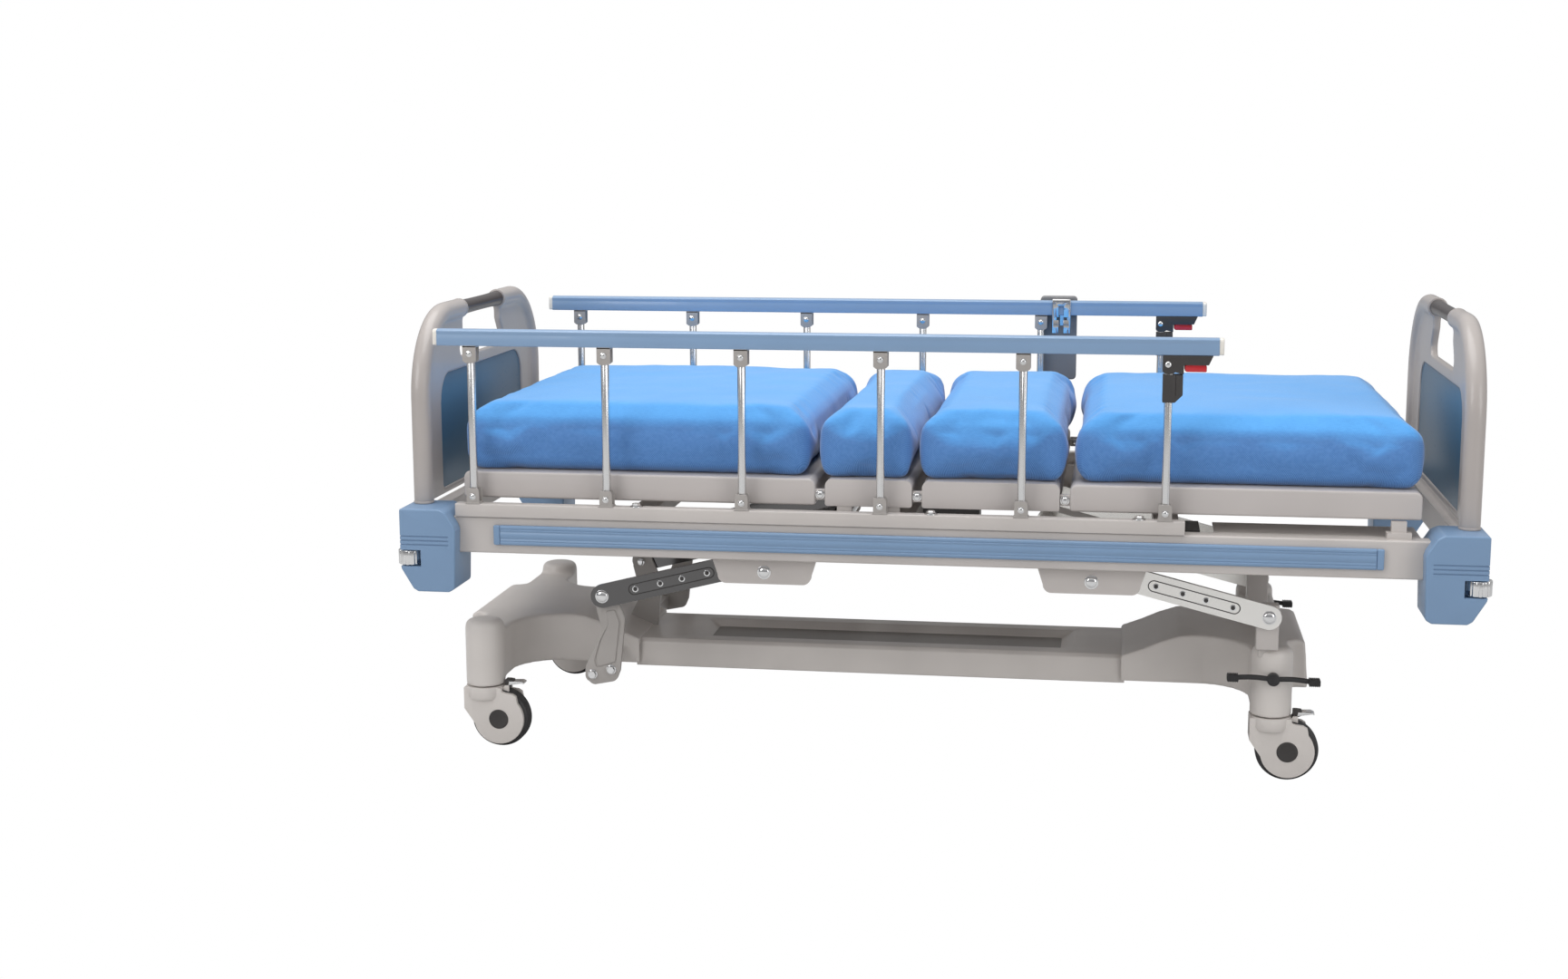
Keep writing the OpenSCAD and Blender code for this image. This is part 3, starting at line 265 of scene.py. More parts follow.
def metal_material(name, colour, roughness=0.2, lines=0.25, scale=160.0):
    """Polished or brushed metal with fine drawn lines."""
    material, tree, shader = start_material(name)
    drawn = add_group(tree, BRUSHED_LINES, Scale=scale, Strength=lines)
    shader.inputs["Metallic"].default_value = 1.0
    shader.inputs["Base Color"].default_value = (*linear(*colour), 1)
    tree.links.new(span(tree, drawn.outputs["Gloss"], roughness, roughness + 0.3),
                   shader.inputs["Roughness"])
    add_bump(tree, shader, drawn.outputs["Height"], 0.06)
    return material


def fabric_material():
    """Blue woven mattress cover with a soft sheen; painted light makes its upward faces paler and painted shade
    makes its sides darker.
    """
    material, tree, shader = start_material("mattress_cover")
    weave = add_group(tree, FABRIC_WEAVE, Threads=260.0, Slub=0.4)
    shade = weave.outputs["Shade"]
    # Painted light and shade: a darker tone for the sides and a paler one for faces that point up, mixed by the
    # normal's Z below.
    side_shade_tone = ramp(tree, shade, linear(38, 92, 162), linear(110, 164, 222), 0.3, 0.7)
    top_light_tone = ramp(tree, shade, linear(38, 122, 204), linear(104, 196, 255), 0.3, 0.7)
    facing = tree.nodes.new("ShaderNodeSeparateXYZ")
    tree.links.new(tree.nodes.new("ShaderNodeNewGeometry").outputs["Normal"], facing.inputs[0])
    blend = tree.nodes.new("ShaderNodeMix")
    blend.data_type = "RGBA"
    tree.links.new(ramp(tree, facing.outputs["Z"], (0, 0, 0), (1, 1, 1), 0.2, 0.85),
                   blend.inputs[0])
    tree.links.new(side_shade_tone, blend.inputs[6])
    tree.links.new(top_light_tone, blend.inputs[7])
    tree.links.new(blend.outputs[2], shader.inputs["Base Color"])
    shader.inputs["Roughness"].default_value = 0.72
    shader.inputs["Sheen Weight"].default_value = 0.35
    shader.inputs["Sheen Roughness"].default_value = 0.45
    add_bump(tree, shader, weave.outputs["Height"], 0.35, 0.0006)
    return material


def rubber_material():
    """Castor tread: dark rubber with dusty patches."""
    material, tree, shader = start_material("castor_rubber")
    grain = add_group(tree, MOULDING_GRAIN, Scale=500.0, Depth=0.8, Scuffs=0.8)
    tone = ramp(tree, grain.outputs["Tint"], linear(40, 40, 42), linear(66, 65, 65))
    tree.links.new(tone, shader.inputs["Base Color"])
    tree.links.new(span(tree, grain.outputs["Scuff"], 0.55, 0.85), shader.inputs["Roughness"])
    add_bump(tree, shader, grain.outputs["Height"], 0.3)
    return material


PAINT = moulded_material("grey_powder_coat", (192, 186, 182), 0.36, 0.2)
# Painted shade: a darker grey for the floor of the beam cover's tray, standing in for the shade in that recess.
TRAY_SHADE_GREY = moulded_material("tray_floor_painted_shade", (150, 145, 141), 0.45, 0.3)
BRACKET_GREY = moulded_material("grey_bracket_coat", (164, 159, 155), 0.34, 0.3)
COVER = moulded_material("grey_cover_plastic", (212, 206, 201), 0.34, 0.3)
DECK = moulded_material("deck_panel_plastic", (188, 182, 179), 0.42, 0.3, 0.9)
TRIM_BLUE = moulded_material("blue_trim_plastic", (119, 147, 179), 0.36, 0.1, 0.12, 0.03)
RAIL_BLUE = moulded_material("blue_rail_paint", (127, 155, 187), 0.28, 0.1, 0.12, 0.03, 0.3)
PANEL_BLUE = moulded_material("blue_board_panel", (71, 106, 131), 0.35, 0.2)
BOARD_GREY = moulded_material("board_plastic", (174, 167, 163), 0.3, 0.2, 0.3, 0.04, 0.2)
DARK = moulded_material("dark_latch_plastic", (58, 55, 54), 0.4, 0.3)
BLACK = moulded_material("black_pedal_plastic", (40, 39, 40), 0.42, 0.4)
RED = moulded_material("red_trigger_plastic", (196, 32, 42), 0.22, 0.1, 0.2, 0.05, 0.4)
GRIP = moulded_material("brown_grip_plastic", (40, 28, 27), 0.3, 0.2, 0.2, 0.1, 0.25)
HANDSET = moulded_material("handset_plastic", (122, 122, 124), 0.4, 0.3)
KEYPAD = moulded_material("handset_keypad", (64, 68, 76), 0.3, 0.2)
KEY_BLUE = moulded_material("handset_keys", (120, 170, 214), 0.3, 0.1)
PALE_CAP = moulded_material("pale_end_cap", (226, 222, 214), 0.3, 0.1)
DARK_STEEL = moulded_material("dark_chassis_steel", (74, 74, 77), 0.5, 0.5)
CHROME = metal_material("chrome", (226, 226, 226), 0.06, 0.12)
ARM_STEEL = metal_material("lift_arm_steel", (240, 238, 234), 0.22, 0.25, 90.0)
# Painted reflection: polished steel for the head lift arms, with a dark colour standing in for the dark
# surroundings it reflects.
HEAD_ARM_REFLECTION_CHROME = metal_material("head_arm_chrome_painted_reflection", (104, 103, 103), 0.08, 0.2, 90.0)
ALUMINIUM = metal_material("post_aluminium", (222, 222, 222), 0.18, 0.3)
FABRIC = fabric_material()
RUBBER = rubber_material()


# ---------------------------------------------------------------- shapes

def to_xz(point, depth):
    return Vector((point[0], depth, point[1]))


def to_yz(point, depth):
    return Vector((depth, point[0], point[1]))


def to_xy(point, depth):
    return Vector((point[0], point[1], depth))


def extrusion(outline, low, high, place=to_xz):
    """A prism over a closed outline, between two depths."""
    shape = bmesh.new()
    rings = [[shape.verts.new(place(p, depth)) for p in outline] for depth in (low, high)]
    shape.faces.new(rings[0])
    shape.faces.new(list(reversed(rings[1])))
    count = len(outline)
    for i in range(count):
        j = (i + 1) % count
        shape.faces.new((rings[0][j], rings[0][i], rings[1][i], rings[1][j]))
    bmesh.ops.recalc_face_normals(shape, faces=shape.faces)
    return shape


def block(low, high):
    return extrusion([(low[0], low[1]), (high[0], low[1]), (high[0], high[1]), (low[0], high[1])],
                     low[2], high[2], to_xy)


def arc(centre, radius, start, stop, steps=8):
    """Points on an arc, angles in degrees."""
    return [(centre[0] + radius * math.cos(math.radians(start + (stop - start) * i / steps)),
             centre[1] + radius * math.sin(math.radians(start + (stop - start) * i / steps)))
            for i in range(steps + 1)]


def rounded(points, radius, steps=6):
    """A closed outline with its corners rounded; radius is one number or one for each corner."""
    count = len(points)
    radii = radius if isinstance(radius, (list, tuple)) else [radius] * count
    outline = []
    for i, r in enumerate(radii):
        here = Vector(points[i])
        before = Vector(points[i - 1]) - here
        after = Vector(points[(i + 1) % count]) - here
        if r <= 0:
            outline.append(tuple(here))
            continue
        half = before.angle(after) / 2
        reach = min(r / math.tan(half), before.length * 0.49, after.length * 0.49)
        fit = reach * math.tan(half)
        centre = here + (before.normalized() + after.normalized()).normalized() * fit / math.sin(half)
        begin = here + before.normalized() * reach - centre
        finish = here + after.normalized() * reach - centre
        turn = begin.angle_signed(finish)
        for s in range(steps + 1):
            spoke = Vector(begin)
            spoke.rotate(Matrix.Rotation(-turn * s / steps, 2))
            outline.append(tuple(centre + spoke))
    return outline


def rectangle(x0, z0, x1, z1):
    return [(x0, z0), (x1, z0), (x1, z1), (x0, z1)]


def stadium(x0, z0, x1, z1, radius, steps=12):
    """Outline with round ends around the line between two points."""
    along = math.degrees(math.atan2(z1 - z0, x1 - x0))
    return (arc((x1, z1), radius, along - 90, along + 90, steps)
            + arc((x0, z0), radius, along + 90, along + 270, steps))


AXIS_TURN = {"x": Matrix.Rotation(math.radians(90), 4, "Y"),
             "y": Matrix.Rotation(math.radians(-90), 4, "X"), "z": Matrix.Identity(4)}


def lathe(profile, centre, axis="y", steps=48):
    """A turned solid; profile is (radius, height along the axis) from one end to the other."""
    shape = bmesh.new()
    rings = []
    for radius, height in profile:
        if radius < 0.01:
            rings.append([shape.verts.new((0, 0, height))])
        else:
            rings.append([shape.verts.new((radius * math.cos(2 * math.pi * i / steps),
                                           radius * math.sin(2 * math.pi * i / steps), height))
                          for i in range(steps)])
    for a, b in zip(rings, rings[1:]):
        for i in range(steps):
            j = (i + 1) % steps
            loop = [a[i % len(a)], a[j % len(a)], b[j % len(b)], b[i % len(b)]]
            face = list(dict.fromkeys(loop))
            if len(face) > 2:
                shape.faces.new(face)
    bmesh.ops.transform(shape, matrix=Matrix.Translation(centre) @ AXIS_TURN[axis], verts=shape.verts)
    bmesh.ops.recalc_face_normals(shape, faces=shape.faces)
    return shape


def disc(radius, low, high, centre, axis="y", edge=1.0, steps=48):
    """A short cylinder with softened rims."""
    return lathe([(0, low), (radius - edge, low), (radius - edge * 0.3, low + edge * 0.3),
                  (radius, low + edge), (radius, high - edge), (radius - edge * 0.3, high - edge * 0.3),
                  (radius - edge, high), (0, high)], centre, axis, steps)


def dome(radius, height, centre, axis="y", side=1, steps=32):
    """A round bolt head that bulges along the axis on one side."""
    lift = [(radius * math.cos(math.radians(a)), side * height * math.sin(math.radians(a)))
            for a in range(0, 91, 15)]
    return lathe([(0, -side * 0.5), (radius, -side * 0.5)] + lift[:-1] + [(0, side * height)],
                 centre, axis, steps)


def hex_head(across, height, centre, axis="y", side=1):
    """A hexagon bolt head with a chamfered crown."""
    r = across / math.sqrt(3)
    return lathe([(0, 0), (r, 0), (r, side * height * 0.75), (r * 0.86, side * height), (0, side * height)],
                 centre, axis, 6)


def tube(path, radius, steps=24, section=None):
    """A bar swept along a path of points, closed at its ends."""
    ring = section or [(radius * math.cos(2 * math.pi * i / steps),
                        radius * math.sin(2 * math.pi * i / steps))
                       for i in range(steps)]
    shape = bmesh.new()
    rings = []
    points = [Vector(p) for p in path]
    up = Vector((1, 0, 0))
    for i, point in enumerate(points):
        ahead = points[min(i + 1, len(points) - 1)] - points[max(i - 1, 0)]
        ahead.normalize()
        side = ahead.cross(up)
        side.normalize()
        lift = side.cross(ahead)
        rings.append([shape.verts.new(point + side * a + lift * b) for a, b in ring])
    for a, b in zip(rings, rings[1:]):
        for i in range(len(ring)):
            j = (i + 1) % len(ring)
            shape.faces.new((a[i], a[j], b[j], b[i]))
    shape.faces.new(list(reversed(rings[0])))
    shape.faces.new(rings[-1])
    bmesh.ops.recalc_face_normals(shape, faces=shape.faces)
    return shape


def merged(*shapes):
    """Several shapes as one, side by side."""
    whole = bmesh.new()
    for shape in shapes:
        held = bpy.data.meshes.new("held")
        shape.to_mesh(held)
        shape.free()
        whole.from_mesh(held)
        bpy.data.meshes.remove(held)
    return whole


def mirrored(shape, axis):
    """The shape, mirrored in the plane through the origin across the axis, 0 for X and 1 for Y."""
    scale = [1, 1, 1]
    scale[axis] = -1
    bmesh.ops.scale(shape, vec=scale, verts=shape.verts)
    bmesh.ops.reverse_faces(shape, faces=shape.faces)
    return shape


def sided(shape, side):
    """A shape drawn for the far side, put on one side."""
    return shape if side > 0 else mirrored(shape, 1)


def ended(shape, end):
    """A shape drawn for the foot end, put at one end."""
    return shape if end > 0 else mirrored(shape, 0)


# ---------------------------------------------------------------- pieces

def loose_object(name, shape):
    mesh = bpy.data.meshes.new(name)
    bmesh.ops.scale(shape, vec=(MM, MM, MM), verts=shape.verts)
    shape.to_mesh(mesh)
    shape.free()
    thing = bpy.data.objects.new(name, mesh)
    scene.collection.objects.link(thing)
    return thing


def settle(thing):
    """Applies the object's modifiers to its mesh."""
    depsgraph = bpy.context.evaluated_depsgraph_get()
    settled = bpy.data.meshes.new_from_object(thing.evaluated_get(depsgraph))
    thing.modifiers.clear()
    old = thing.data
    thing.data = settled
    bpy.data.meshes.remove(old)


def combine(thing, operation, *shapes):
    """Cuts shapes from the object, or joins them to it."""
    for i, shape in enumerate(shapes):
        tool = loose_object(f"{thing.name}_tool_{i}", shape)
        step = thing.modifiers.new("combine", "BOOLEAN")
        step.operation = operation
        step.solver = "EXACT"
        step.object = tool
        settle(thing)
        bpy.data.meshes.remove(tool.data)


def soften(thing, width, segments=3, angle=35):
    """Rounds the sharp edges."""
    step = thing.modifiers.new("soften", "BEVEL")
    step.width = width * MM
    step.segments = segments
    step.limit_method = "ANGLE"
    step.angle_limit = math.radians(angle)
    step.miter_outer = "MITER_ARC"
    settle(thing)


def melt(thing, voxel, rounds):
    """Fuses the object's overlapping solids into one skin with blended corners."""
    step = thing.modifiers.new("fuse", "REMESH")
    step.mode = "VOXEL"
    step.voxel_size = voxel * MM
    smooth = thing.modifiers.new("blend", "SMOOTH")
    smooth.factor = 0.5
    smooth.iterations = rounds
    settle(thing)


def dress(thing, body, material, replaces=(), crease=32):
    """Gives a finished mesh its material, shading, body and the CAD nodes it stands for."""
    mesh = thing.data
    mesh.materials.clear()
    mesh.materials.append(material)
    mesh.shade_smooth()
    mesh.set_sharp_from_angle(angle=math.radians(crease))
    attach(thing, body)
    if replaces:
        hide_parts(*replaces)
    return thing


def piece(name, shape, body, material, replaces=(), bevel=0, segments=3, crease=32):
    thing = loose_object(name, shape)
    if bevel:
        soften(thing, bevel, segments)
    return dress(thing, body, material, replaces, crease)


# ---------------------------------------------------------------- camera, light and floor

def set_camera():
    data = bpy.data.cameras.new("camera")
    data.lens = 48.27
    data.sensor_width = 36
    data.clip_end = 100
    camera = bpy.data.objects.new("camera", data)
    forward = Vector((-0.15576, 0.97372, -0.16615))
    turn = forward.to_track_quat("-Z", "Y").to_matrix().to_4x4()
    camera.matrix_world = (Matrix.Translation((0.3687, -4.500, 1.2825)) @ turn
                           @ Matrix.Rotation(-0.00265, 4, "Z"))
    scene.collection.objects.link(camera)
    scene.camera = camera


def add_lamp(name, place, target, size, power):
    data = bpy.data.lights.new(name, "AREA")
    data.shape = "RECTANGLE"
    data.size, data.size_y = size
    data.energy = power
    lamp = bpy.data.objects.new(name, data)
    lamp.location = place
    lamp.rotation_euler = (Vector(target) - Vector(place)).to_track_quat("-Z", "Y").to_euler()
    scene.collection.objects.link(lamp)


def set_world():
    """White backdrop; the light it gives is bright overhead and dim in a band behind the viewer."""
    world = bpy.data.worlds.new("studio")
    world.use_nodes = True
    tree = world.node_tree
    place = tree.nodes.new("ShaderNodeTexCoord")
    split = tree.nodes.new("ShaderNodeSeparateXYZ")
    tree.links.new(place.outputs["Generated"], split.inputs[0])
    height = ramp(tree, split.outputs["Z"], (0.30, 0.30, 0.31), (1.0, 1.0, 1.0), 0.05, 0.75)
    glow = tree.nodes["Background"]
    tree.links.new(height, glow.inputs["Color"])
    glow.inputs["Strength"].default_value = 0.85
    backdrop = tree.nodes.new("ShaderNodeBackground")
    backdrop.inputs["Color"].default_value = (1, 1, 1, 1)
    rays = tree.nodes.new("ShaderNodeLightPath")
    choose = tree.nodes.new("ShaderNodeMixShader")
    tree.links.new(rays.outputs["Is Camera Ray"], choose.inputs[0])
    tree.links.new(glow.outputs[0], choose.inputs[1])
    tree.links.new(backdrop.outputs[0], choose.inputs[2])
    tree.links.new(choose.outputs[0], tree.nodes["World Output"].inputs["Surface"])
    scene.world = world


def set_stage():
    scene.view_settings.view_transform = "Standard"
    set_world()
    floor = bpy.data.meshes.new("floor")
    floor.from_pydata([(-40, -40, 0), (40, -40, 0), (40, 40, 0), (-40, 40, 0)], [], [(0, 1, 2, 3)])
    ground = bpy.data.objects.new("floor", floor)
    scene.collection.objects.link(ground)
    material, tree, shader = start_material("studio_floor")
    shader.inputs["Base Color"].default_value = (0.58, 0.58, 0.58, 1)
    shader.inputs["Roughness"].default_value = 0.9
    paper = tree.nodes.new("ShaderNodeEmission")
    rays = tree.nodes.new("ShaderNodeLightPath")
    choose = tree.nodes.new("ShaderNodeMixShader")
    tree.links.new(rays.outputs["Is Camera Ray"], choose.inputs[0])
    tree.links.new(shader.outputs[0], choose.inputs[1])
    tree.links.new(paper.outputs[0], choose.inputs[2])
    tree.links.new(choose.outputs[0], tree.nodes["Material Output"].inputs["Surface"])
    floor.materials.append(material)
    add_lamp("overhead", (-0.6, -0.3, 4.2), (0, 0, 0.6), (4.5, 3.0), 105)
    add_lamp("front_left", (-3.6, -4.2, 2.6), (0, 0, 0.5), (2.4, 2.4), 64)
    add_lamp("front_right", (3.8, -3.4, 1.6), (0.2, 0, 0.4), (2.0, 2.4), 38)


# ---------------------------------------------------------------- mattress

CUSHIONS = {
    "back": ("back_section", 34, 12.0),
    "seat": ("bed_frame", 26, 6.0),
    "thigh": ("thigh_section", 28, 8.0),
    "leg": ("leg_section", 34, 12.0),
}


def cushion_blank(low, high, inset, edge):
    """A block with rounded edges, a little smaller than the space that the foam fills."""
    outline = rounded(rectangle(low.x + inset, low.z, high.x - inset, high.z - inset * 0.6), edge, 6)
    shape = extrusion(outline, -DECK_Y + 2 + inset, DECK_Y - 2 - inset)
    return shape


def inflate(thing, reach):
    """Swells the cover by cloth simulation and holds it in the space of its foam."""
    rest = [v.co.copy() for v in thing.data.vertices]
    cloth = thing.modifiers.new("cover", "CLOTH")
    cloth.settings.use_pressure = True
    cloth.settings.uniform_pressure_force = 4
    cloth.settings.effector_weights.gravity = 0
    cloth.settings.quality = 4
    cloth.collision_settings.use_collision = False
    cloth.point_cache.frame_start = 1
    cloth.point_cache.frame_end = 14
    for step in range(1, 15):
        scene.frame_set(step)
    settle(thing)
    scene.frame_set(1)
    for vertex, start in zip(thing.data.vertices, rest):
        move = vertex.co - start
        if move.length > reach * MM:
            vertex.co = start + move.normalized() * reach * MM


def settle_cover(thing, low, high, crown, phase):
    """Crowns the top and lays soft undulations on the cover, pushing its sides and ends in and out."""
    centre = (low + high) / 2
    half = (high - low) / 2
    for vertex in thing.data.vertices:
        at = vertex.co / MM
        u = (at.x - centre.x) / half.x
        v = (at.y - centre.y) / half.y
        w = (at.z - low.z) / (high.z - low.z)
        bulge = max(0.0, 1 - abs(u) ** 4) * max(0.0, 1 - abs(v) ** 4)
        ripple = noise.noise(Vector((at.x * 0.006, at.y * 0.007, phase)))
        fold = noise.noise(Vector((at.x * 0.019, at.y * 0.012 + at.z * 0.02, phase + 5)))
        at.z += max(0.0, w - 0.3) * (crown * bulge + 5.0 * ripple + 2.0 * fold)
        push = math.sin(math.pi * min(1.0, max(0.0, w))) * (3.0 * fold + 3.0 * ripple)
        at.y += push * (1 if v > 0.9 else -1 if v < -0.9 else 0)
        at.x += push * 0.6 * (1 if u > 0.9 else -1 if u < -0.9 else 0)
        at.z = max(at.z, low.z + 0.2)
        vertex.co = at * MM


def make_cushions():
    for phase, (part, (body, edge, crown)) in enumerate(CUSHIONS.items()):
        node = f"{part}_cushion"
        low, high = node_span(node)
        thing = loose_object(f"{part}_mattress", cushion_blank(low, high, 5, edge))
        soften(thing, edge * 0.9, 5)
        remesh = thing.modifiers.new("skin", "REMESH")
        remesh.mode = "VOXEL"
        remesh.voxel_size = 8 * MM
        settle(thing)
        inflate(thing, SWELL_LIMIT)
        settle_cover(thing, low, high, crown, phase * 3.7)
        soft = thing.modifiers.new("smooth", "SMOOTH")
        soft.iterations = 3
        smooth = thing.modifiers.new("subdivide", "SUBSURF")
        smooth.levels = 1
        settle(thing)
        dress(thing, body, FABRIC, (node,), 180)
        if part == "seat":
            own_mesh(thing)
        if part == "thigh":
            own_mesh(thing)


# ---------------------------------------------------------------- deck

def pan_shape(x0, x1):
    outline = rounded(rectangle(x0, PAN_BOTTOM, x1, DECK_TOP), [5, 5, 14, 14], 6)
    return extrusion(outline, -DECK_Y, DECK_Y)


def notch(hinge_x):
    """Room in a panel for the hinge parts of its neighbour."""
    return [sided(disc(16.3, 388, 410, (hinge_x, 0, HINGE_Z), "y", 0.1, 40), side)
            for side in SIDES.values()]


def hinge_hardware(hinge_x, side):
    """Washer, bolt head and pin end at a deck hinge."""
    return merged(sided(disc(9.5, 409.2, 411.4, (hinge_x, 0, HINGE_Z), "y", 0.5), side),
                  sided(hex_head(13, 4.2, (hinge_x, 411.2, HINGE_Z)), side),
                  sided(disc(4, 386, 409.4, (hinge_x, 0, HINGE_Z), "y", 0.3, 24), side),
                  sided(disc(4.6, 411, 416.6, (hinge_x, 0, HINGE_Z), "y", 0.6, 24), side))


def hinge_block(hinge_x, pan_end):
    """Square steel lug that stands out of a panel and turns about the hinge bolt."""
    toward = 1 if pan_end > hinge_x else -1
    low_x, high_x = sorted((hinge_x - toward * 9.5, pan_end + toward * 5))
    outline = rounded(rectangle(low_x, HINGE_Z - 11, high_x, HINGE_Z + 11), 2, 3)
    return merged(*[sided(extrusion(outline, 399, 409), side) for side in SIDES.values()])


def inner_lug(hinge_x, pan_end):
    toward = 1 if pan_end > hinge_x else -1
    outline = stadium(hinge_x, HINGE_Z, pan_end + toward * 6, HINGE_Z, 7)
    return merged(*[sided(extrusion(outline, 390, 398), side) for side in SIDES.values()])


def make_deck():
    gap = 10
    spans = {
        "back": (node_span("back_deck")[0].x, BACK_HINGE - gap, "back_section"),
        "seat": (BACK_HINGE + gap, THIGH_HINGE - gap, "bed_frame"),
        "thigh": (THIGH_HINGE + gap, KNEE_HINGE - gap, "thigh_section"),
        "leg": (KNEE_HINGE + gap, DECK_HIGH.x, "leg_section"),
    }
    cuts = {"seat": (BACK_HINGE, THIGH_HINGE), "thigh": (KNEE_HINGE,)}
    lugs = {"seat": (BACK_HINGE, THIGH_HINGE), "thigh": (KNEE_HINGE,)}
    blocks = {"back": (BACK_HINGE,), "thigh": (THIGH_HINGE,), "leg": (KNEE_HINGE,)}
    for part, (x0, x1, body) in spans.items():
        thing = loose_object(f"{part}_deck_panel", pan_shape(x0, x1))
        for hinge_x in cuts.get(part, ()):
            combine(thing, "DIFFERENCE", *notch(hinge_x))
        soften(thing, 4.5, 4, 50)
        dress(thing, body, DECK, (f"{part}_deck",))
        for hinge_x in blocks.get(part, ()):
            end = x1 if part == "back" else x0
            piece(f"{part}_hinge_blocks", hinge_block(hinge_x, end), body, PAINT,
                  bevel=1.2)
        for i, hinge_x in enumerate(lugs.get(part, ())):
            end = x0 if hinge_x < x0 else x1
            piece(f"{part}_hinge_lugs_{i}", inner_lug(hinge_x, end), body, PAINT,
                  bevel=0.8)
            hardware = merged(*[hinge_hardware(hinge_x, side) for side in SIDES.values()])
            piece(f"{part}_hinge_bolts_{i}", hardware, body, CHROME)
    stands = [sided(block((x, DECK_Y - 14, FRAME_HIGH), (x + 30, DECK_Y - 1, PAN_BOTTOM + 2)), side)
              for side in SIDES.values() for x in (BACK_HINGE + 34, THIGH_HINGE - 64)]
    piece("seat_stand_offs", merged(*stands), "bed_frame", PAINT, bevel=1)
    make_back_crank()


def make_back_crank():
    """The crank under the back section that its drive pushes."""
    z = HINGE_Z - 56
    cheeks = []
    for y in (-92, -54):
        cheeks.append(extrusion(stadium(BACK_HINGE, z, BACK_HINGE - 24, PAN_BOTTOM + 2, 9), y, y + 6))
        cheeks.append(block((BACK_HINGE - 70, y, PAN_BOTTOM - 8), (BACK_HINGE - 20, y + 6, PAN_BOTTOM + 1)))
    cheeks.append(disc(9, -87, -53, (BACK_HINGE, 0, z)))
    piece("back_crank", merged(*cheeks), "back_section", DARK_STEEL, bevel=0.8)


# ---------------------------------------------------------------- side rails

POST_HALF_X, POST_HALF_Y = 8.0, 9.0


def post_section():
    """Oval section with drawn flutes along both faces."""
    points = []
    for i in range(64):
        a = 2 * math.pi * i / 64
        straight = POST_HALF_Y - POST_HALF_X
        y = POST_HALF_X * math.sin(a) + (straight if math.sin(a) > 0 else -straight)
        x = POST_HALF_X * math.cos(a)
        flute = 0.55 * max(0.0, math.cos(7 * a)) if abs(math.sin(a)) > 0.35 else 0.0
        points.append((x * (1 - flute / POST_HALF_X), y * (1 - flute / POST_HALF_Y)))
    return points


def make_posts():
    section = post_section()
    for side_name, side in SIDES.items():
        for k, x in enumerate(POST_X):
            outline = [(x + a, side * RAIL_Y + b) for a, b in section]
            shape = extrusion(outline, LINK_LOW_Z - 8, LINK_HIGH_Z + 8, to_xy)
            node = f"rail_post_{side_name}_{k}"
            thing = loose_object(f"fluted_post_{side_name}_{k}", shape)
            pivot = 0.05 if k == 5 else 0.5
            combine(thing, "DIFFERENCE",
                    disc(4.05, -15, 15, (x, side * RAIL_Y, LINK_LOW_Z), "y", 0.1, 32),
                    disc(4 + pivot, -15, 15, (x, side * RAIL_Y, LINK_HIGH_Z), "y", 0.1, 32))
            soften(thing, 0.5, 2, 50)
            dress(thing, f"post_{side_name}_{k}", ALUMINIUM, (node,), 40)


def handrail_outline(half, low, high):
    """Crowned rail section in Y and Z with a shallow groove along each side."""
    crown = arc((0, high - 19.0), 19.0, 52, 128, 10)
    side = [(half, high - 6), (half - 0.9, high - 10.5), (half - 0.9, high - 12), (half, high - 16)]
    points = [(half - 1.2, low), (half, low + 1.2)] + list(reversed(side)) + crown
    points += [(-a, b) for a, b in side] + [(-half, low + 1.2), (-half + 1.2, low)]
    return points


def top_bracket(x):
    """Inverted U that holds a post's top pivot."""
    plates = []
    for side in SIDES.values():
        outline = rounded([(x - 14, RAIL_LOW_Z), (x - 14, 838), (x - 8, 833.5), (x + 8, 833.5), (x + 14, 838),
                           (x + 14, RAIL_LOW_Z)], [0.5, 2, 2, 2, 2, 0.5], 4)
        plates.append(sided(extrusion(outline, 9.5, 11.5), side))
    plates.append(block((x - 14, -11.5, RAIL_LOW_Z - 3), (x + 14, 11.5, RAIL_LOW_Z + 0.4)))
    return merged(*plates)


RAIL_LOW_Z, RAIL_TOP_Z = 868, 902


def place_y(shape, y):
    bmesh.ops.translate(shape, vec=(0, y, 0), verts=shape.verts)
    return shape


def make_handrails():
    for side_name, side in SIDES.items():
        body = f"rail_{side_name}"
        y = side * RAIL_Y
        outline = [(a + y, b) for a, b in handrail_outline(12, RAIL_LOW_Z, RAIL_TOP_Z)]
        tube_shape = extrusion(outline, POST_X[0] - 67, END_POST_X + 93, to_yz)
        piece(f"handrail_tube_{side_name}", tube_shape, body, RAIL_BLUE,
              (f"handrail_{side_name}",), bevel=0.6, crease=25)
        caps = []
        for inner, outer in ((END_POST_X + 92.5, END_POST_X + 102), (POST_X[0] - 76, POST_X[0] - 66.5)):
            shell = rounded(rectangle(y - 11.6, RAIL_LOW_Z + 1, y + 11.6, RAIL_TOP_Z - 0.8), [3, 3, 7, 7], 5)
            caps.append(extrusion(shell, min(inner, outer), max(inner, outer), to_yz))
        piece(f"handrail_caps_{side_name}", merged(*caps), body, PALE_CAP, bevel=2.4)
        brackets = merged(*[top_bracket(x) for x in POST_X[:5]])
        piece(f"top_brackets_{side_name}", place_y(brackets, y), body, BRACKET_GREY, bevel=0.7)
        bolts = []
        for x in POST_X[:5]:
            bolts.append(disc(4, -11, 11, (x, 0, LINK_HIGH_Z), "y", 0.3, 24))
            for face in SIDES.values():
                bolts.append(sided(disc(6.4, 11.4, 12.3, (x, 0, LINK_HIGH_Z), "y", 0.3), face))
                bolts.append(sided(dome(5, 2.1, (x, 12.2, LINK_HIGH_Z)), face))
        piece(f"top_bolts_{side_name}", place_y(merged(*bolts), y), body, CHROME)


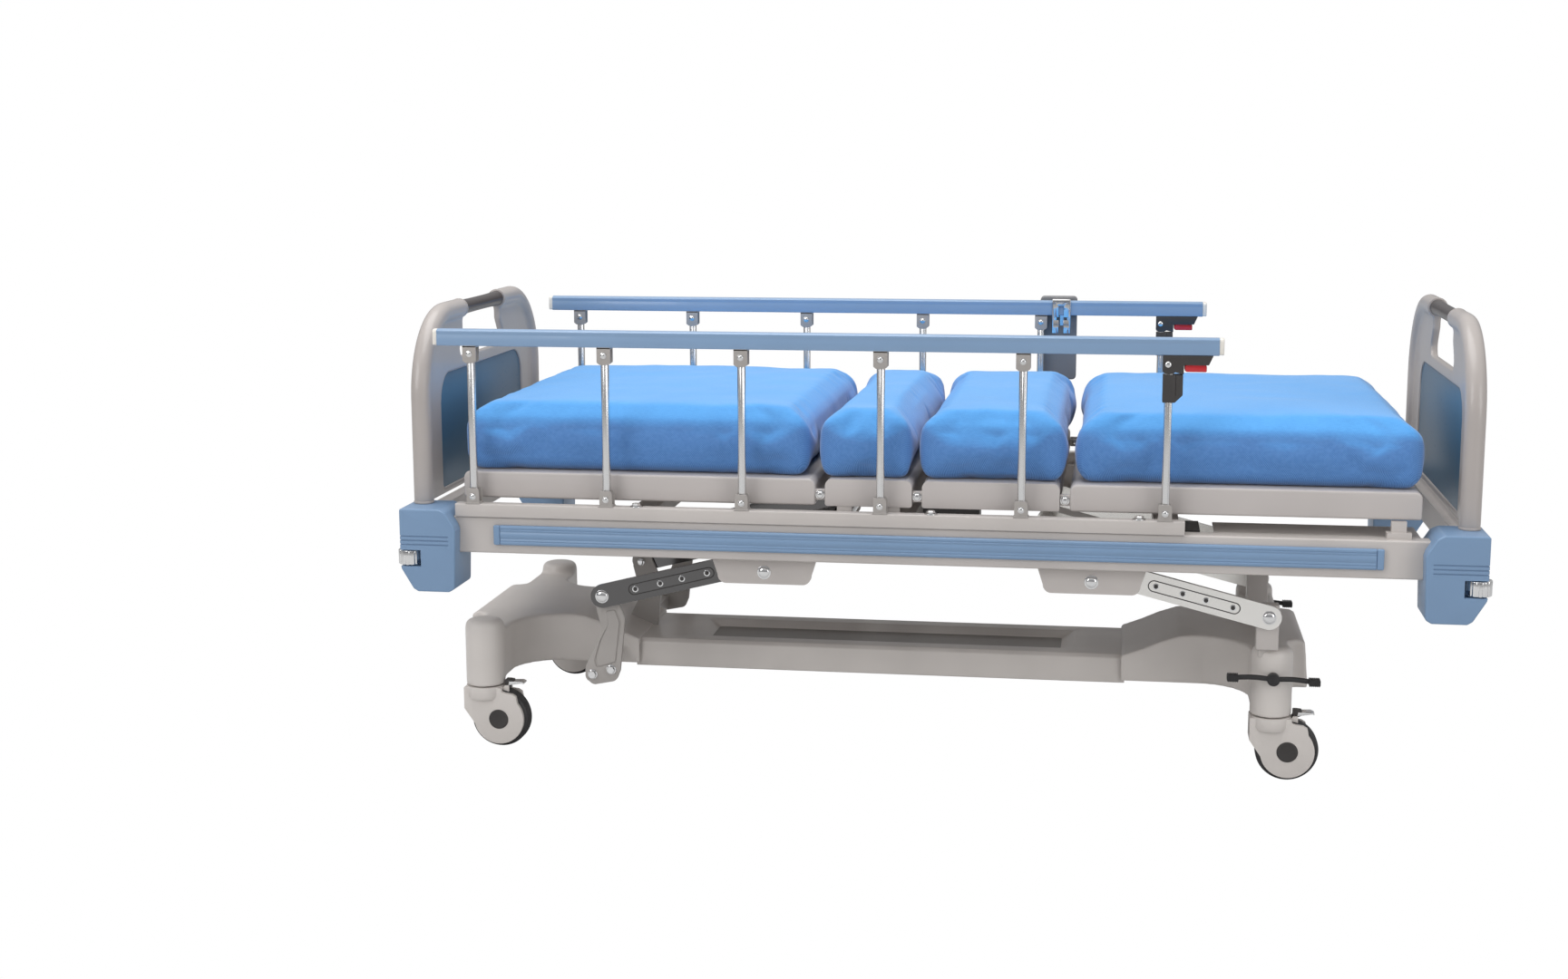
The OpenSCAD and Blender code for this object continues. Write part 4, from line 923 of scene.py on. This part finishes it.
def make_latches():
    x = END_POST_X
    for side_name, side in SIDES.items():
        y = side * RAIL_Y
        body = f"rail_{side_name}"
        cheek = (arc((x, LINK_HIGH_Z), 20, 233, 306, 6)
                 + [(x + 27.5, 832), (x + 27.5, 848.2), (x + 29.6, 850), (x + 74, 850), (x + 82, 867.6),
                    (x - 12, 867.6)])
        thing = loose_object(f"latch_body_{side_name}", extrusion(cheek, -13.4, 13.4))
        combine(thing, "DIFFERENCE", block((x - 14, -9.5, 825), (x + 12.5, 9.5, 864)),
                block((x + 28.1, -10.4, 845), (x + 70.9, 10.4, 861)))
        soften(thing, 1.3, 3, 40)
        place_data(thing, y)
        dress(thing, body, DARK, (f"rail_latch_{side_name}",))
        bolt = merged(disc(4, -12, 12, (x, 0, LINK_HIGH_Z), "y", 0.2, 24),
                      *[sided(dome(6.2, 2.6, (x - 2, 13.3, LINK_HIGH_Z - 1.5)), face) for face in SIDES.values()])
        piece(f"latch_bolt_{side_name}", place_y(bolt, y), body, CHROME)
        boot = rounded([(x - 11.5, 831), (x - 11.5, 777.5), (x + 12, 777.5), (x + 26.5, 792), (x + 26.5, 831)],
                       1.6, 3)
        thing = loose_object(f"latch_boot_{side_name}", extrusion(boot, -13.4, 13.4))
        combine(thing, "DIFFERENCE", block((x + 12, -15, 789), (x + 13.6, -11.6, 832)),
                block((x + 12, 11.6, 789), (x + 13.6, 15, 832)))
        soften(thing, 1.0, 2, 40)
        place_data(thing, y)
        dress(thing, f"post_{side_name}_5", DARK)
        pull = rounded([(x + 28.5, 836.5), (x + 70.5, 836.5), (x + 70.5, 849), (x + 28.5, 849)],
                       [7, 2.5, 2.5, 2], 5)
        stem = rectangle(x + 30.5, 846, x + 68.5, 853)
        shape = merged(extrusion(pull, -10, 10), extrusion(stem, -9.6, 9.6))
        piece(f"trigger_{side_name}", place_y(shape, y), f"trigger_{side_name}", RED,
              (f"rail_trigger_{side_name}",), bevel=1.6)


def place_data(thing, y):
    thing.data.transform(Matrix.Translation((0, y * MM, 0)))


def bottom_bracket(x):
    """U bracket welded on the mount bar, with one square corner and one round."""
    ears = []
    base = BAR_TOP
    outline = rounded([(x - 13, base - 0.4), (x + 13, base - 0.4), (x + 13, 571), (x + 11, 579), (x - 13, 579)],
                      [0.5, 0.5, 2, 6, 1.2], 4)
    for side in SIDES.values():
        ears.append(sided(extrusion(outline, 9.5, 12.5), side))
        weld = [(x - 15.5, base - 0.3), (x + 15.5, base - 0.3), (x + 13.2, base + 3), (x - 13.2, base + 3)]
        ears.append(sided(extrusion(weld, 9.3, 13.6), side))
    ears.append(block((x - 13, -11, base - 0.4), (x + 13, 11, base + 3)))
    return merged(*ears)


def make_rail_mounts():
    for side_name, side in SIDES.items():
        y = side * RAIL_Y
        bar = rounded(rectangle(y - side * 15, FRAME_HIGH, y + side * 13, BAR_TOP), 2, 3)
        shape = extrusion(bar, POST_X[0] - 38, END_POST_X + 38, to_yz)
        piece(f"mount_bar_{side_name}", shape, "bed_frame", PAINT,
              ("rail_mounts",) if side < 0 else (), bevel=0.8)
        brackets = merged(*[bottom_bracket(x) for x in POST_X])
        piece(f"bottom_brackets_{side_name}", place_y(brackets, y), "bed_frame", BRACKET_GREY,
              bevel=0.7)
        bolts = []
        for x in POST_X:
            bolts.append(disc(4, -12, 12, (x, 0, LINK_LOW_Z), "y", 0.3, 24))
            for face in SIDES.values():
                bolts.append(sided(disc(6.6, 12.4, 13.4, (x, 0, LINK_LOW_Z), "y", 0.3), face))
                bolts.append(sided(dome(5.2, 2.2, (x, 13.3, LINK_LOW_Z)), face))
        for x in (POST_X[5] - 49, POST_X[3] + 100, POST_X[1] + 60):
            bolts.append(disc(13, 0, 2, (x, 0, BAR_TOP), "z", 0.4))
            bolts.append(hex_head(15, 5.6, (x, 0, BAR_TOP + 2), "z"))
        piece(f"bottom_bolts_{side_name}", place_y(merged(*bolts), y), "bed_frame", CHROME)


# ---------------------------------------------------------------- frame trim

def make_lift_trim():
    """Bolts of the lift plates, and painted shade on each outer arm: a dark line where its pressed groove lies in
    shade and dark discs in its rivet holes.
    """
    bolts = []
    for side in SIDES.values():
        for end in ENDS.values():
            bolts.append(sided(dome(11, 4, (end * 326, 414.6, 415)), side))
            bolts.append(sided(disc(14, 413.9, 415.2, (end * 326, 0, 415), "y", 0.5), side))
    piece("lift_plate_bolts", merged(*bolts), "bed_frame", CHROME)
    for end_name, end in ENDS.items():
        turn = (Matrix.Translation((-ARM_PIVOT_X, 0, ARM_PIVOT_Z))
                @ Matrix.Rotation(math.radians(-ARM_RISE), 4, "Y"))
        lines, screws, rivet_hole_shades = [], [], []
        for side in SIDES.values():
            # Painted shade: a flat dark ring along the groove line, for the shade inside the pressed groove.
            outer = stadium(70, 0, 232, 0, 12.4)
            inner = stadium(70, 0, 232, 0, 9.6)
            ring = bmesh.new()
            rims = [[ring.verts.new((a, 369.3, b)) for a, b in line] for line in (outer, inner)]
            for i in range(len(outer)):
                j = (i + 1) % len(outer)
                ring.faces.new((rims[0][i], rims[0][j], rims[1][j], rims[1][i]))
            bmesh.ops.transform(ring, matrix=turn, verts=ring.verts)
            lines.append(sided(ring, side))
            for along in (73, 127, 174, 228):
                eye = disc(6.6, 369.6, 370.7, (along, 0, 0), "y", 0.4)
                # Painted shade: a dark disc inside each rivet eye for its shaded hole.
                hole_shade = disc(4.3, 366, 371.1, (along, 0, 0), "y", 0.4)
                for part, store in ((eye, screws), (hole_shade, rivet_hole_shades)):
                    bmesh.ops.transform(part, matrix=turn, verts=part.verts)
                    store.append(sided(part, side))
        body = f"{end_name}_arms"
        piece(f"arm_grooves_{end_name}", ended(merged(*lines), -end), body, DARK)
        piece(f"arm_rivets_{end_name}", ended(merged(*screws), -end), body, CHROME)
        piece(f"arm_rivet_cores_{end_name}", ended(merged(*rivet_hole_shades), -end), body, DARK)


def make_bumper_strips():
    low, high = FRAME_LOW + 18.5, FRAME_LOW + 59
    shapes, ends = [], []
    for side in SIDES.values():
        ribs = [(BEAM_Y, low), (BEAM_Y + 6.5, low), (BEAM_Y + 9, low + 3), (BEAM_Y + 9, low + 6.5),
                (BEAM_Y + 7.6, low + 8), (BEAM_Y + 9, low + 9.5)]
        ribs += arc((BEAM_Y - 8, (low + high) / 2), 17.2, -24, 24, 8)
        ribs += [(BEAM_Y + 9, high - 9.5), (BEAM_Y + 7.6, high - 8), (BEAM_Y + 9, high - 6.5),
                 (BEAM_Y + 9, high - 3), (BEAM_Y + 6.5, high), (BEAM_Y, high)]
        shapes.append(sided(extrusion(ribs, -862, 862, to_yz), side))
        for end in ENDS.values():
            cap = rounded(rectangle(BEAM_Y, low, BEAM_Y + 9, high), [0, 3, 3, 0], 4)
            ends.append(ended(sided(extrusion(cap, 862.6, 876, to_yz), side), end))
    piece("bumper_rails", merged(*shapes), "bed_frame", TRIM_BLUE, ("bumper_strips",),
          bevel=0.5)
    piece("bumper_end_caps", merged(*ends), "bed_frame", TRIM_BLUE, bevel=2.6)


def corner_outline():
    return rounded([(952, 375), (964, 368), (1029, 368), (1039, 374), (1063, 414), (1065, 424), (1065, 538.5),
                    (982, 538.5), (968, 531.5), (951, 504.5), (948, 494.5)],
                   [8, 8, 5, 12, 8, 6, 5, 16, 12, 16, 14], 5)


def make_corner_covers():
    first = True
    for end_name, end in ENDS.items():
        for side_name, side in SIDES.items():
            thing = loose_object(f"corner_cover_{end_name}_{side_name}",
                                 ended(sided(extrusion(corner_outline(), 370, 482.5), side), end))
            soften(thing, 3.5, 4, 50)
            cuts = [block((947, 405.5, 444.5), (1045.5, 446.5, 520.5)),
                    block((1014, 360, 469.5), (1045.5, 446.5, 525.5)),
                    block((968, 376, 360), (1025, 476, 430))]
            cuts += [block((963, 480.6, z), (1070, 490, z + 2.6)) for z in (464, 472.5, 481)]
            cuts += [block((1063.4, 470, z), (1070, 490, z + 2.6)) for z in (464, 472.5, 481)]
            cuts.append(block((1021, 436, 420), (1070, 490, 454)))
            cuts.append(disc(27, 420, 454, (KNOB_X, KNOB_Y, 0), "z", 0.2))
            combine(thing, "DIFFERENCE", *[ended(sided(cut, side), end) for cut in cuts])
            dress(thing, "bed_frame", TRIM_BLUE, ("corner_covers",) if first else (), 30)
            first = False
            make_knob(end_name, end, side_name, side)


def make_knob(end_name, end, side_name, side):
    """Fluted chrome wheel at the corner."""
    body = f"knob_{end_name}_{side_name}"
    outline = []
    for i in range(112):
        a = 2 * math.pi * i / 112
        r = 25 - 1.5 * max(0.0, math.cos(14 * a)) ** 0.5
        outline.append((KNOB_X + r * math.cos(a), KNOB_Y + r * math.sin(a)))
    thing = loose_object(f"knob_{end_name}_{side_name}", extrusion(outline, 422, 452, to_xy))
    combine(thing, "DIFFERENCE", disc(4.05, 400, 460, (KNOB_X, KNOB_Y, 0), "z", 0.1, 32))
    soften(thing, 1.6, 3, 50)
    if side < 0 or end < 0:
        flip = Matrix.Diagonal((end, side, 1, 1))
        thing.data.transform(flip)
        if end * side < 0:
            thing.data.flip_normals()
    dress(thing, body, CHROME, (f"corner_knob_{end_name}_{side_name}",))


# ---------------------------------------------------------------- end boards

def board_tube_path():
    """Centre line of one half of a board's tube, from a post's foot up and over the corner to the top."""
    centre_y = BOARD_POST_Y - BOARD_CORNER_R
    centre_z = BOARD_TOP - BOARD_CORNER_R
    bend = arc((centre_y, centre_z), BOARD_CORNER_R, 0, 90, 20)
    half = [(BOARD_POST_Y, BOARD_BOTTOM + 60 * i) for i in range(3)] + bend
    return half


def make_boards():
    window_y, window_low, window_high = 298, 552.5, 790
    slot_low = 815
    web_y = BOARD_POST_Y - TUBE_R + 6
    for end_name, end in ENDS.items():
        x = end * BOARD_X
        web = rounded([(-web_y, BOARD_BOTTOM + 0.5), (web_y, BOARD_BOTTOM + 0.5), (web_y, BOARD_TOP),
                       (-web_y, BOARD_TOP)], [1, 1, BOARD_CORNER_R - 14, BOARD_CORNER_R - 14], 14)
        shapes = [extrusion(web, x - 8, x + 8, to_yz)]
        for side in SIDES.values():
            path = [(x, side * y, z) for y, z in board_tube_path()]
            path.append((x, side * GRIP_HALF, BOARD_TOP))
            shapes.append(tube(path, TUBE_R, 32))
        thing = loose_object(f"board_frame_{end_name}", merged(*shapes))
        window = rounded(rectangle(-window_y, window_low, window_y, window_high), [6, 6, 60, 60], 10)
        slot = rounded([(-178, slot_low), (178, slot_low), (GRIP_HALF, 872), (GRIP_HALF, 960),
                        (-GRIP_HALF, 960), (-GRIP_HALF, 872)], [22, 22, 18, 0, 0, 18], 6)
        step = thing.modifiers.new("fuse", "REMESH")
        step.mode = "VOXEL"
        step.voxel_size = 3.5 * MM
        settle(thing)
        combine(thing, "DIFFERENCE", extrusion(window, x - 30, x + 30, to_yz),
                extrusion(slot, x - 30, x + 30, to_yz))
        melt(thing, 3.5, 5)
        dress(thing, "bed_frame", BOARD_GREY, ("end_board_frames",) if end > 0 else (), 180)
        pegs = [sided(disc(12, BOARD_BOTTOM - 11, BOARD_BOTTOM + 4, (x, BOARD_POST_Y, 0), "z"), side)
                for side in SIDES.values()]
        rings = []
        for side in SIDES.values():
            rings.append(sided(disc(TUBE_R + 0.4, GRIP_HALF - 1, GRIP_HALF + 4,
                                    (x, 0, BOARD_TOP), "y", 1.4), side))
            rings.append(sided(disc(TUBE_R + 0.6, BOARD_BOTTOM, BOARD_BOTTOM + 5, (x, BOARD_POST_Y, 0), "z", 1.2),
                               side))
        piece(f"board_pegs_{end_name}", merged(*pegs), "bed_frame", DARK_STEEL)
        piece(f"board_collars_{end_name}", merged(*rings), "bed_frame", BOARD_GREY)
        panel = rounded(rectangle(-window_y - 1, window_low - 1, window_y + 1, window_high + 1),
                        [6, 6, 60, 60], 10)
        piece(f"board_panel_{end_name}", extrusion(panel, x - 5, x + 5, to_yz), "bed_frame", PANEL_BLUE,
              ("end_board_panels",) if end > 0 else (), bevel=1)
        profile = [(0, -GRIP_HALF + 1), (16.5, -GRIP_HALF + 1), (17.4, -GRIP_HALF + 5)]
        profile += [(15.2 + 1.4 * abs(u) ** 3, u * (GRIP_HALF - 12)) for u in [i / 8 - 1 for i in range(17)]]
        profile += [(17.4, GRIP_HALF - 5), (16.5, GRIP_HALF - 1), (0, GRIP_HALF - 1)]
        piece(f"board_grip_{end_name}", lathe(profile, (x, 0, BOARD_TOP)), "bed_frame", GRIP,
              ("end_board_grips",) if end > 0 else (), crease=60)


# ---------------------------------------------------------------- base

def end_cover_profile():
    """Side outline of an end cover, from the middle of the base."""
    return [(518, 148), (518, 202), (560, 218), (600, 236), (638, 249), (662, 252), (882, 251),
            (894, 244), (902, 148)]


def limb_plan():
    """Plan of the body, its swept limbs and the column pads, far half mirrored onto the near one."""
    left, right = COLUMN_DX - 40, COLUMN_DX + 40
    half = [(518, 145)]
    half += [(518 + 60, 145)]
    half += arc((left - 100, 145 + 100), 100, -90, 0, 12)
    half += [(left, COLUMN_Y)]
    half += arc((COLUMN_DX, COLUMN_Y), 40, 180, 0, 16)[1:-1]
    half += [(right, COLUMN_Y), (right, 176)]
    half += arc((right + 26, 172), 26, 180, 270, 6)[1:]
    half += [(902, 146)]
    return half + [(x, -y) for x, y in reversed(half)]


def make_end_cover(end_name, end):
    thing = loose_object(f"base_casting_{end_name}", extrusion(limb_plan(), 148, 300, to_xy))
    combine(thing, "INTERSECT", extrusion(end_cover_profile(), -400, 400))
    column = [(0, 134), (COLUMN_R, 134), (COLUMN_R, 258), (COLUMN_R - 2, 267), (COLUMN_R - 8, 273),
              (COLUMN_R - 16, 275), (0, 275)]
    for side in SIDES.values():
        combine(thing, "UNION", lathe(column, (COLUMN_DX, side * COLUMN_Y, 0), "z", 56))
    melt(thing, 4, 4)
    combine(thing, "DIFFERENCE",
            block((500, -141, 120), (890, 141, 190)),
            *[disc(31, 120, 250, (COLUMN_DX, side * COLUMN_Y, 0), "z", 0.2) for side in SIDES.values()],
            *[block((COLUMN_DX - 36, min(side * 130, side * 290), 120),
                    (COLUMN_DX + 36, max(side * 130, side * 290), 190)) for side in SIDES.values()])
    thing.data.transform(Matrix.Translation((BASE_X * MM, 0, 0)) @ Matrix.Diagonal((end, 1, 1, 1)))
    if end < 0:
        thing.data.flip_normals()
    dress(thing, "base", COVER, ("end_covers",) if end > 0 else (), 50)


def make_beam_cover():
    outline = rounded([(-137, 141), (137, 141), (131, 193), (122, 200), (-122, 200), (-131, 193)],
                      [3, 3, 6, 6, 6, 6], 4)
    thing = loose_object("long_cover", extrusion(outline, BASE_X - 526, BASE_X + 526, to_yz))
    tray = rounded(rectangle(BASE_X - 407, -84, BASE_X + 417, 84), 12, 5)
    floor_outline = rounded(rectangle(BASE_X - 379, -70, BASE_X + 389, 70), 8, 5)
    cutter = bmesh.new()
    rings = [[cutter.verts.new((x, y, z)) for x, y in line]
             for line, z in ((floor_outline, 184), (tray, 200.5), (tray, 215))]
    cutter.faces.new(list(reversed(rings[0])))
    cutter.faces.new(rings[-1])
    for a, b in zip(rings, rings[1:]):
        for i in range(len(a)):
            j = (i + 1) % len(a)
            cutter.faces.new((a[i], a[j], b[j], b[i]))
    bmesh.ops.recalc_face_normals(cutter, faces=cutter.faces)
    combine(thing, "DIFFERENCE", cutter, block((BASE_X - 520, -126, 130), (BASE_X + 520, 126, 180)))
    soften(thing, 1.2, 2, 28)
    dress(thing, "base", COVER, ("beam_cover",))
    # Painted shade: a darker sheet on the tray floor, where the recess lies in shade.
    piece("long_cover_tray_shade", extrusion(floor_outline, 182, 184.6, to_xy), "base",
          TRAY_SHADE_GREY)


def link_plate_outline():
    """Cranked plate that carries a head end arm, about the arm's pivot."""
    x, z = -ARM_PIVOT_X, ARM_PIVOT_Z
    points = [(-20, -12), (-20, 12), (0, 23), (20, 12), (33, -18), (45, -47), (33, -160), (24, -182),
              (-25, -192), (-42, -178), (-41, -152), (-4, -76)]
    return rounded([(x + a, z + b) for a, b in points], [6, 14, 20, 14, 8, 14, 12, 14, 14, 14, 12, 30], 6)


def make_arm_supports():
    x, z = ARM_PIVOT_X, ARM_PIVOT_Z
    plates, posts, bolts = [], [], []
    for y0, sides in ((349, (-1, 1)), (-1, (1,))):
        for side in sides:
            plates.append(sided(extrusion(link_plate_outline(), y0, y0 + 8.5), side))
    for side in SIDES.values():
        posts.append(sided(block((x - 23.5, 325, 276), (x + 20.5, 357.5, z + 22.5)), side))
        posts.append(sided(block((x - 18, 325, 256), (x + 15, 339, 277)), side))
    posts.append(block((x - 23.5, -22, 190), (x + 20.5, 7.5, z + 22.5)))
    for side in SIDES.values():
        for sx in (-1, 1):
            bolts.append(sided(dome(12, 4.2, (sx * x, 370.5, z)), side))
            bolts.append(sided(disc(14, 369.9, 371.2, (sx * x, 0, z), "y", 0.4), side))
            bolts.append(sided(disc(8, 338, 370, (sx * x, 0, z)), side))
        for a, b in ((-26, 175.5), (14, 187)):
            bolts.append(sided(disc(10.5, 357.4, 359, (a - x, 0, b), "y", 0.4), side))
            bolts.append(sided(hex_head(16, 6, (a - x, 359, b)), side))
    for sx in (-1, 1):
        bolts.append(dome(12, 4.2, (sx * x, 20.6, z)))
        bolts.append(disc(8, -12, 20.5, (sx * x, 0, z)))
    plate_thing = loose_object("link_plates", merged(*plates))
    field = rounded([(a - x, b + z) for a, b in
                     ((5, -33), (26, -28), (37, -56), (25, -143), (-18, -155), (-22, -138), (-9, -96),
                      (9, -62))], [5, 5, 10, 7, 5, 7, 30, 12], 5)
    soften(plate_thing, 0.9, 2, 40)
    middle = (sum(a for a, b in field) / len(field), sum(b for a, b in field) / len(field))
    raised = [(middle[0] + (a - middle[0]) * 0.84, middle[1] + (b - middle[1]) * 0.955) for a, b in field]
    combine(plate_thing, "DIFFERENCE", *[sided(extrusion(field, 355.5, 360), side)
                                         for side in SIDES.values()])
    combine(plate_thing, "UNION", *[sided(extrusion(raised, 353, 357.2), side)
                                    for side in SIDES.values()])
    dress(plate_thing, "base", BRACKET_GREY, ("arm_supports",))
    piece("arm_posts", merged(*posts), "base", PAINT, bevel=3)
    piece("arm_bolts", merged(*bolts), "base", CHROME)


def make_pedals():
    x, z, y = BASE_X + COLUMN_DX, 217, COLUMN_Y + COLUMN_R + 4
    arms, treads = [], []
    for side in SIDES.values():
        for toward, fall in ((-1, 1), (1, -3)):
            path = [(x + toward * 79 * t, y + 6, z + fall * t + 3 * math.sin(math.pi * t)) for t in
                    [i / 8 for i in range(9)]]
            bar = tube_level(path, 5.2)
            arms.append(sided(bar, side))
            ribs = []
            for i in range(6):
                u = x + toward * (70 + 3.6 * i)
                ribs.append(extrusion(rounded(rectangle(u - 1.3, z - 6.5 + fall, u + 1.3, z + 8 + fall), 1, 2),
                                      y - 3.5, y + 17.5))
            ribs.append(extrusion(rounded(rectangle(x + toward * 90.6 if toward < 0 else x + 68, z - 5.5 + fall,
                                                    x + toward * 68 if toward < 0 else x + 90.6,
                                                    z + 6.8 + fall), 2, 3), y - 2.5, y + 16.5))
            treads += [sided(rib, side) for rib in ribs]
        for radius, front in ((12.5, 13), (8.5, 15.5), (4, 17)):
            arms.append(sided(disc(radius, y - 3, y + front, (x, 0, z), "y", 1.0), side))
    arms.append(disc(6, -y, y, (x, 0, z)))
    piece("pedal_bars", merged(*arms), "brake_bar", BLACK, ("brake_pedals",))
    piece("pedal_treads", merged(*treads), "brake_bar", BLACK, bevel=0.5)


def tube_level(path, radius):
    """A flat-lying round bar along a path in X and Z."""
    shape = bmesh.new()
    rings = []
    for x, y, z in path:
        rings.append([shape.verts.new((x, y + radius * math.cos(a), z + radius * math.sin(a)))
                      for a in (2 * math.pi * i / 16 for i in range(16))])
    for a, b in zip(rings, rings[1:]):
        for i in range(16):
            j = (i + 1) % 16
            shape.faces.new((a[i], a[j], b[j], b[i]))
    shape.faces.new(list(reversed(rings[0])))
    shape.faces.new(rings[-1])
    bmesh.ops.recalc_face_normals(shape, faces=shape.faces)
    return shape


# ---------------------------------------------------------------- castors

def housing_outline():
    """Side outline of a castor housing about its swivel axis."""
    hood = arc((TRAIL, WHEEL_R), 53.5, -168, 40, 40)
    return [(-40, 130), (-41, 128), (-41, 84)] + hood + [
        (TRAIL + 38, 112), (TRAIL + 30, 117), (48, 119), (41, 122), (41, 128), (40, 130)]


def make_castor(end_name, side_name):
    x = BASE_X + ENDS[end_name] * COLUMN_DX
    y = SIDES[side_name] * COLUMN_Y
    body = f"castor_{end_name}_{side_name}"
    tag = f"{end_name}_{side_name}"
    place = Matrix.Translation((x, y, 0))

    def put(shape):
        bmesh.ops.transform(shape, matrix=place, verts=shape.verts)
        return shape

    thing = loose_object(f"castor_hood_{tag}", extrusion(housing_outline(), -28, 28))
    combine(thing, "UNION", lathe([(0, 104), (37, 104), (41, 112), (41, 132), (0, 132)], (0, 0, 0), "z", 56))
    soften(thing, 3.2, 4, 40)
    combine(thing, "DIFFERENCE", disc(64.5, -18.6, 18.6, (TRAIL, 0, WHEEL_R), "y", 0.5, 72),
            block((-6, -18.6, -5), (TRAIL + 44, 18.6, WHEEL_R)))
    thing.data.transform(Matrix.Translation((x * MM, y * MM, 0)))
    dress(thing, body, COVER, (f"castor_housing_{tag}",), 35)
    stem = merged(disc(11, 128, 178, (0, 0, 0), "z"), disc(6, -27, 27, (TRAIL, 0, WHEEL_R)),
                  disc(2, -12, 12, (49, 0, 128), "y", 0.2, 20))
    piece(f"castor_stem_{tag}", put(stem), body, CHROME)
    hubs = merged(*[sided(lathe([(0, 27.4), (21, 27.4), (21, 28.6), (20, 29.4), (17, 29.6), (16, 29.2), (0, 29.4)],
                                (TRAIL, 0, WHEEL_R)), face) for face in SIDES.values()])
    piece(f"castor_hub_caps_{tag}", put(hubs), body, DARK)
    lugs = merged(*[sided(extrusion(rounded([(38, 112), (54, 112), (54, 133), (44, 133), (38, 122)], 2, 3),
                                    9.5, 14), face) for face in SIDES.values()])
    piece(f"castor_lugs_{tag}", put(lugs), body, COVER, bevel=0.8)
    tread = [(6.05, -18), (30, -18), (34, -15), (46, -15), (50, -18), (55.5, -18), (60, -16), (62.5, -9),
             (62.5, 9), (60, 16), (55.5, 18), (50, 18), (46, 15), (34, 15), (30, 18), (6.05, 18), (6.05, -18)]
    wheel = lathe(tread, (TRAIL, 0, WHEEL_R), "y", 72)
    bmesh.ops.remove_doubles(wheel, verts=wheel.verts, dist=0.001)
    piece(f"castor_tyre_{tag}", put(wheel), f"wheel_{tag}", RUBBER, (f"castor_wheel_{tag}",))
    root = rounded([(44, 132), (53, 130), (60, 133), (62, 144), (52, 145), (44, 145)], 1.5, 3)
    tab = rounded([(52, 133), (82, 138), (86, 136), (86, 139.5), (80, 142), (54, 141)], 1.2, 3)
    lever = merged(extrusion(root, -9, 9), disc(4.5, -9, 9, (49, 0, 128), "y", 0.4, 24))
    piece(f"brake_lever_block_{tag}", put(lever), f"lever_{tag}", DARK,
          (f"castor_lever_{tag}",), bevel=0.8)
    piece(f"brake_lever_tab_{tag}", put(extrusion(tab, -12, 12)), f"lever_{tag}", CHROME,
          bevel=0.8)


# ---------------------------------------------------------------- handset

def make_handset():
    x0, x1 = 185, 270
    y0, y1 = 457.5, 481.5
    top, bottom = 910, 715
    outline = rounded(rectangle(x0, bottom, x1, top), 9, 5)
    piece("handset_body", extrusion(outline, y0, y1), "rail_far", HANDSET, ("handset",),
          bevel=3.5, segments=4)
    pad = rounded(rectangle(x0 + 10, bottom + 14, x1 - 10, top - 14), 5, 4)
    piece("handset_pad", extrusion(pad, y1 - 0.5, y1 + 0.4), "rail_far", KEYPAD, bevel=0.3)
    keys = []
    for row in range(4):
        for column in range(2):
            cx, cz = x0 + 28 + 29 * column, top - 44 - 34 * row
            key = rounded(rectangle(cx - 9, cz - 8, cx + 9, cz + 8), 4, 4)
            keys.append(extrusion(key, y1 + 0.2, y1 + 0.9))
    piece("handset_keys", merged(*keys), "rail_far", KEY_BLUE, bevel=0.3)
    gland = lathe([(0, 701), (4, 701), (5, 703)] + [(5.4 + 0.6 * (i % 2), 704 + 1.5 * i) for i in range(8)]
                  + [(6, 716), (0, 716)], (236, 469.5, 0), "z", 24)
    piece("handset_gland", gland, "rail_far", BLACK)
    hook = rounded([(425.5, 827), (423.5, 827), (423.5, 905.5), (457.6, 905.5), (457.6, 842), (455.6, 842),
                    (455.6, 903.5), (425.5, 903.5)], [0, 0, 2.5, 2.5, 0, 0, 0.5, 0.5], 4)
    thing = loose_object("handset_hook", extrusion(hook, 214, 255, to_yz))
    combine(thing, "DIFFERENCE", block((228, 415, 820), (240, 430, 890)),
            block((218, 415, 857), (251, 430, 864)))
    soften(thing, 0.4, 2, 50)
    dress(thing, "rail_far", CHROME)


# ---------------------------------------------------------------- carried-over nodes

def paint_node(node, material):
    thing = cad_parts[node]
    thing.data.materials.clear()
    thing.data.materials.append(material)


def paint_carried_nodes():
    for node, material in {
        "bed_frame": PAINT, "chassis_frame": BRACKET_GREY, "drive_units": DARK,
        # The head lift arms get the chrome with the painted dark reflection.
        "foot_lift_arms": ARM_STEEL, "head_lift_arms": HEAD_ARM_REFLECTION_CHROME,
        "lift_actuator_rod": CHROME, "back_actuator_rod": CHROME,
    }.items():
        paint_node(node, material)


set_camera()
set_stage()
make_deck()
make_posts()
make_handrails()
make_latches()
make_rail_mounts()
make_lift_trim()
make_bumper_strips()
make_corner_covers()
make_boards()
for name, sign in ENDS.items():
    make_end_cover(name, sign)
    for flank in SIDES:
        make_castor(name, flank)
make_beam_cover()
make_arm_supports()
make_pedals()
make_handset()
paint_carried_nodes()
make_cushions()
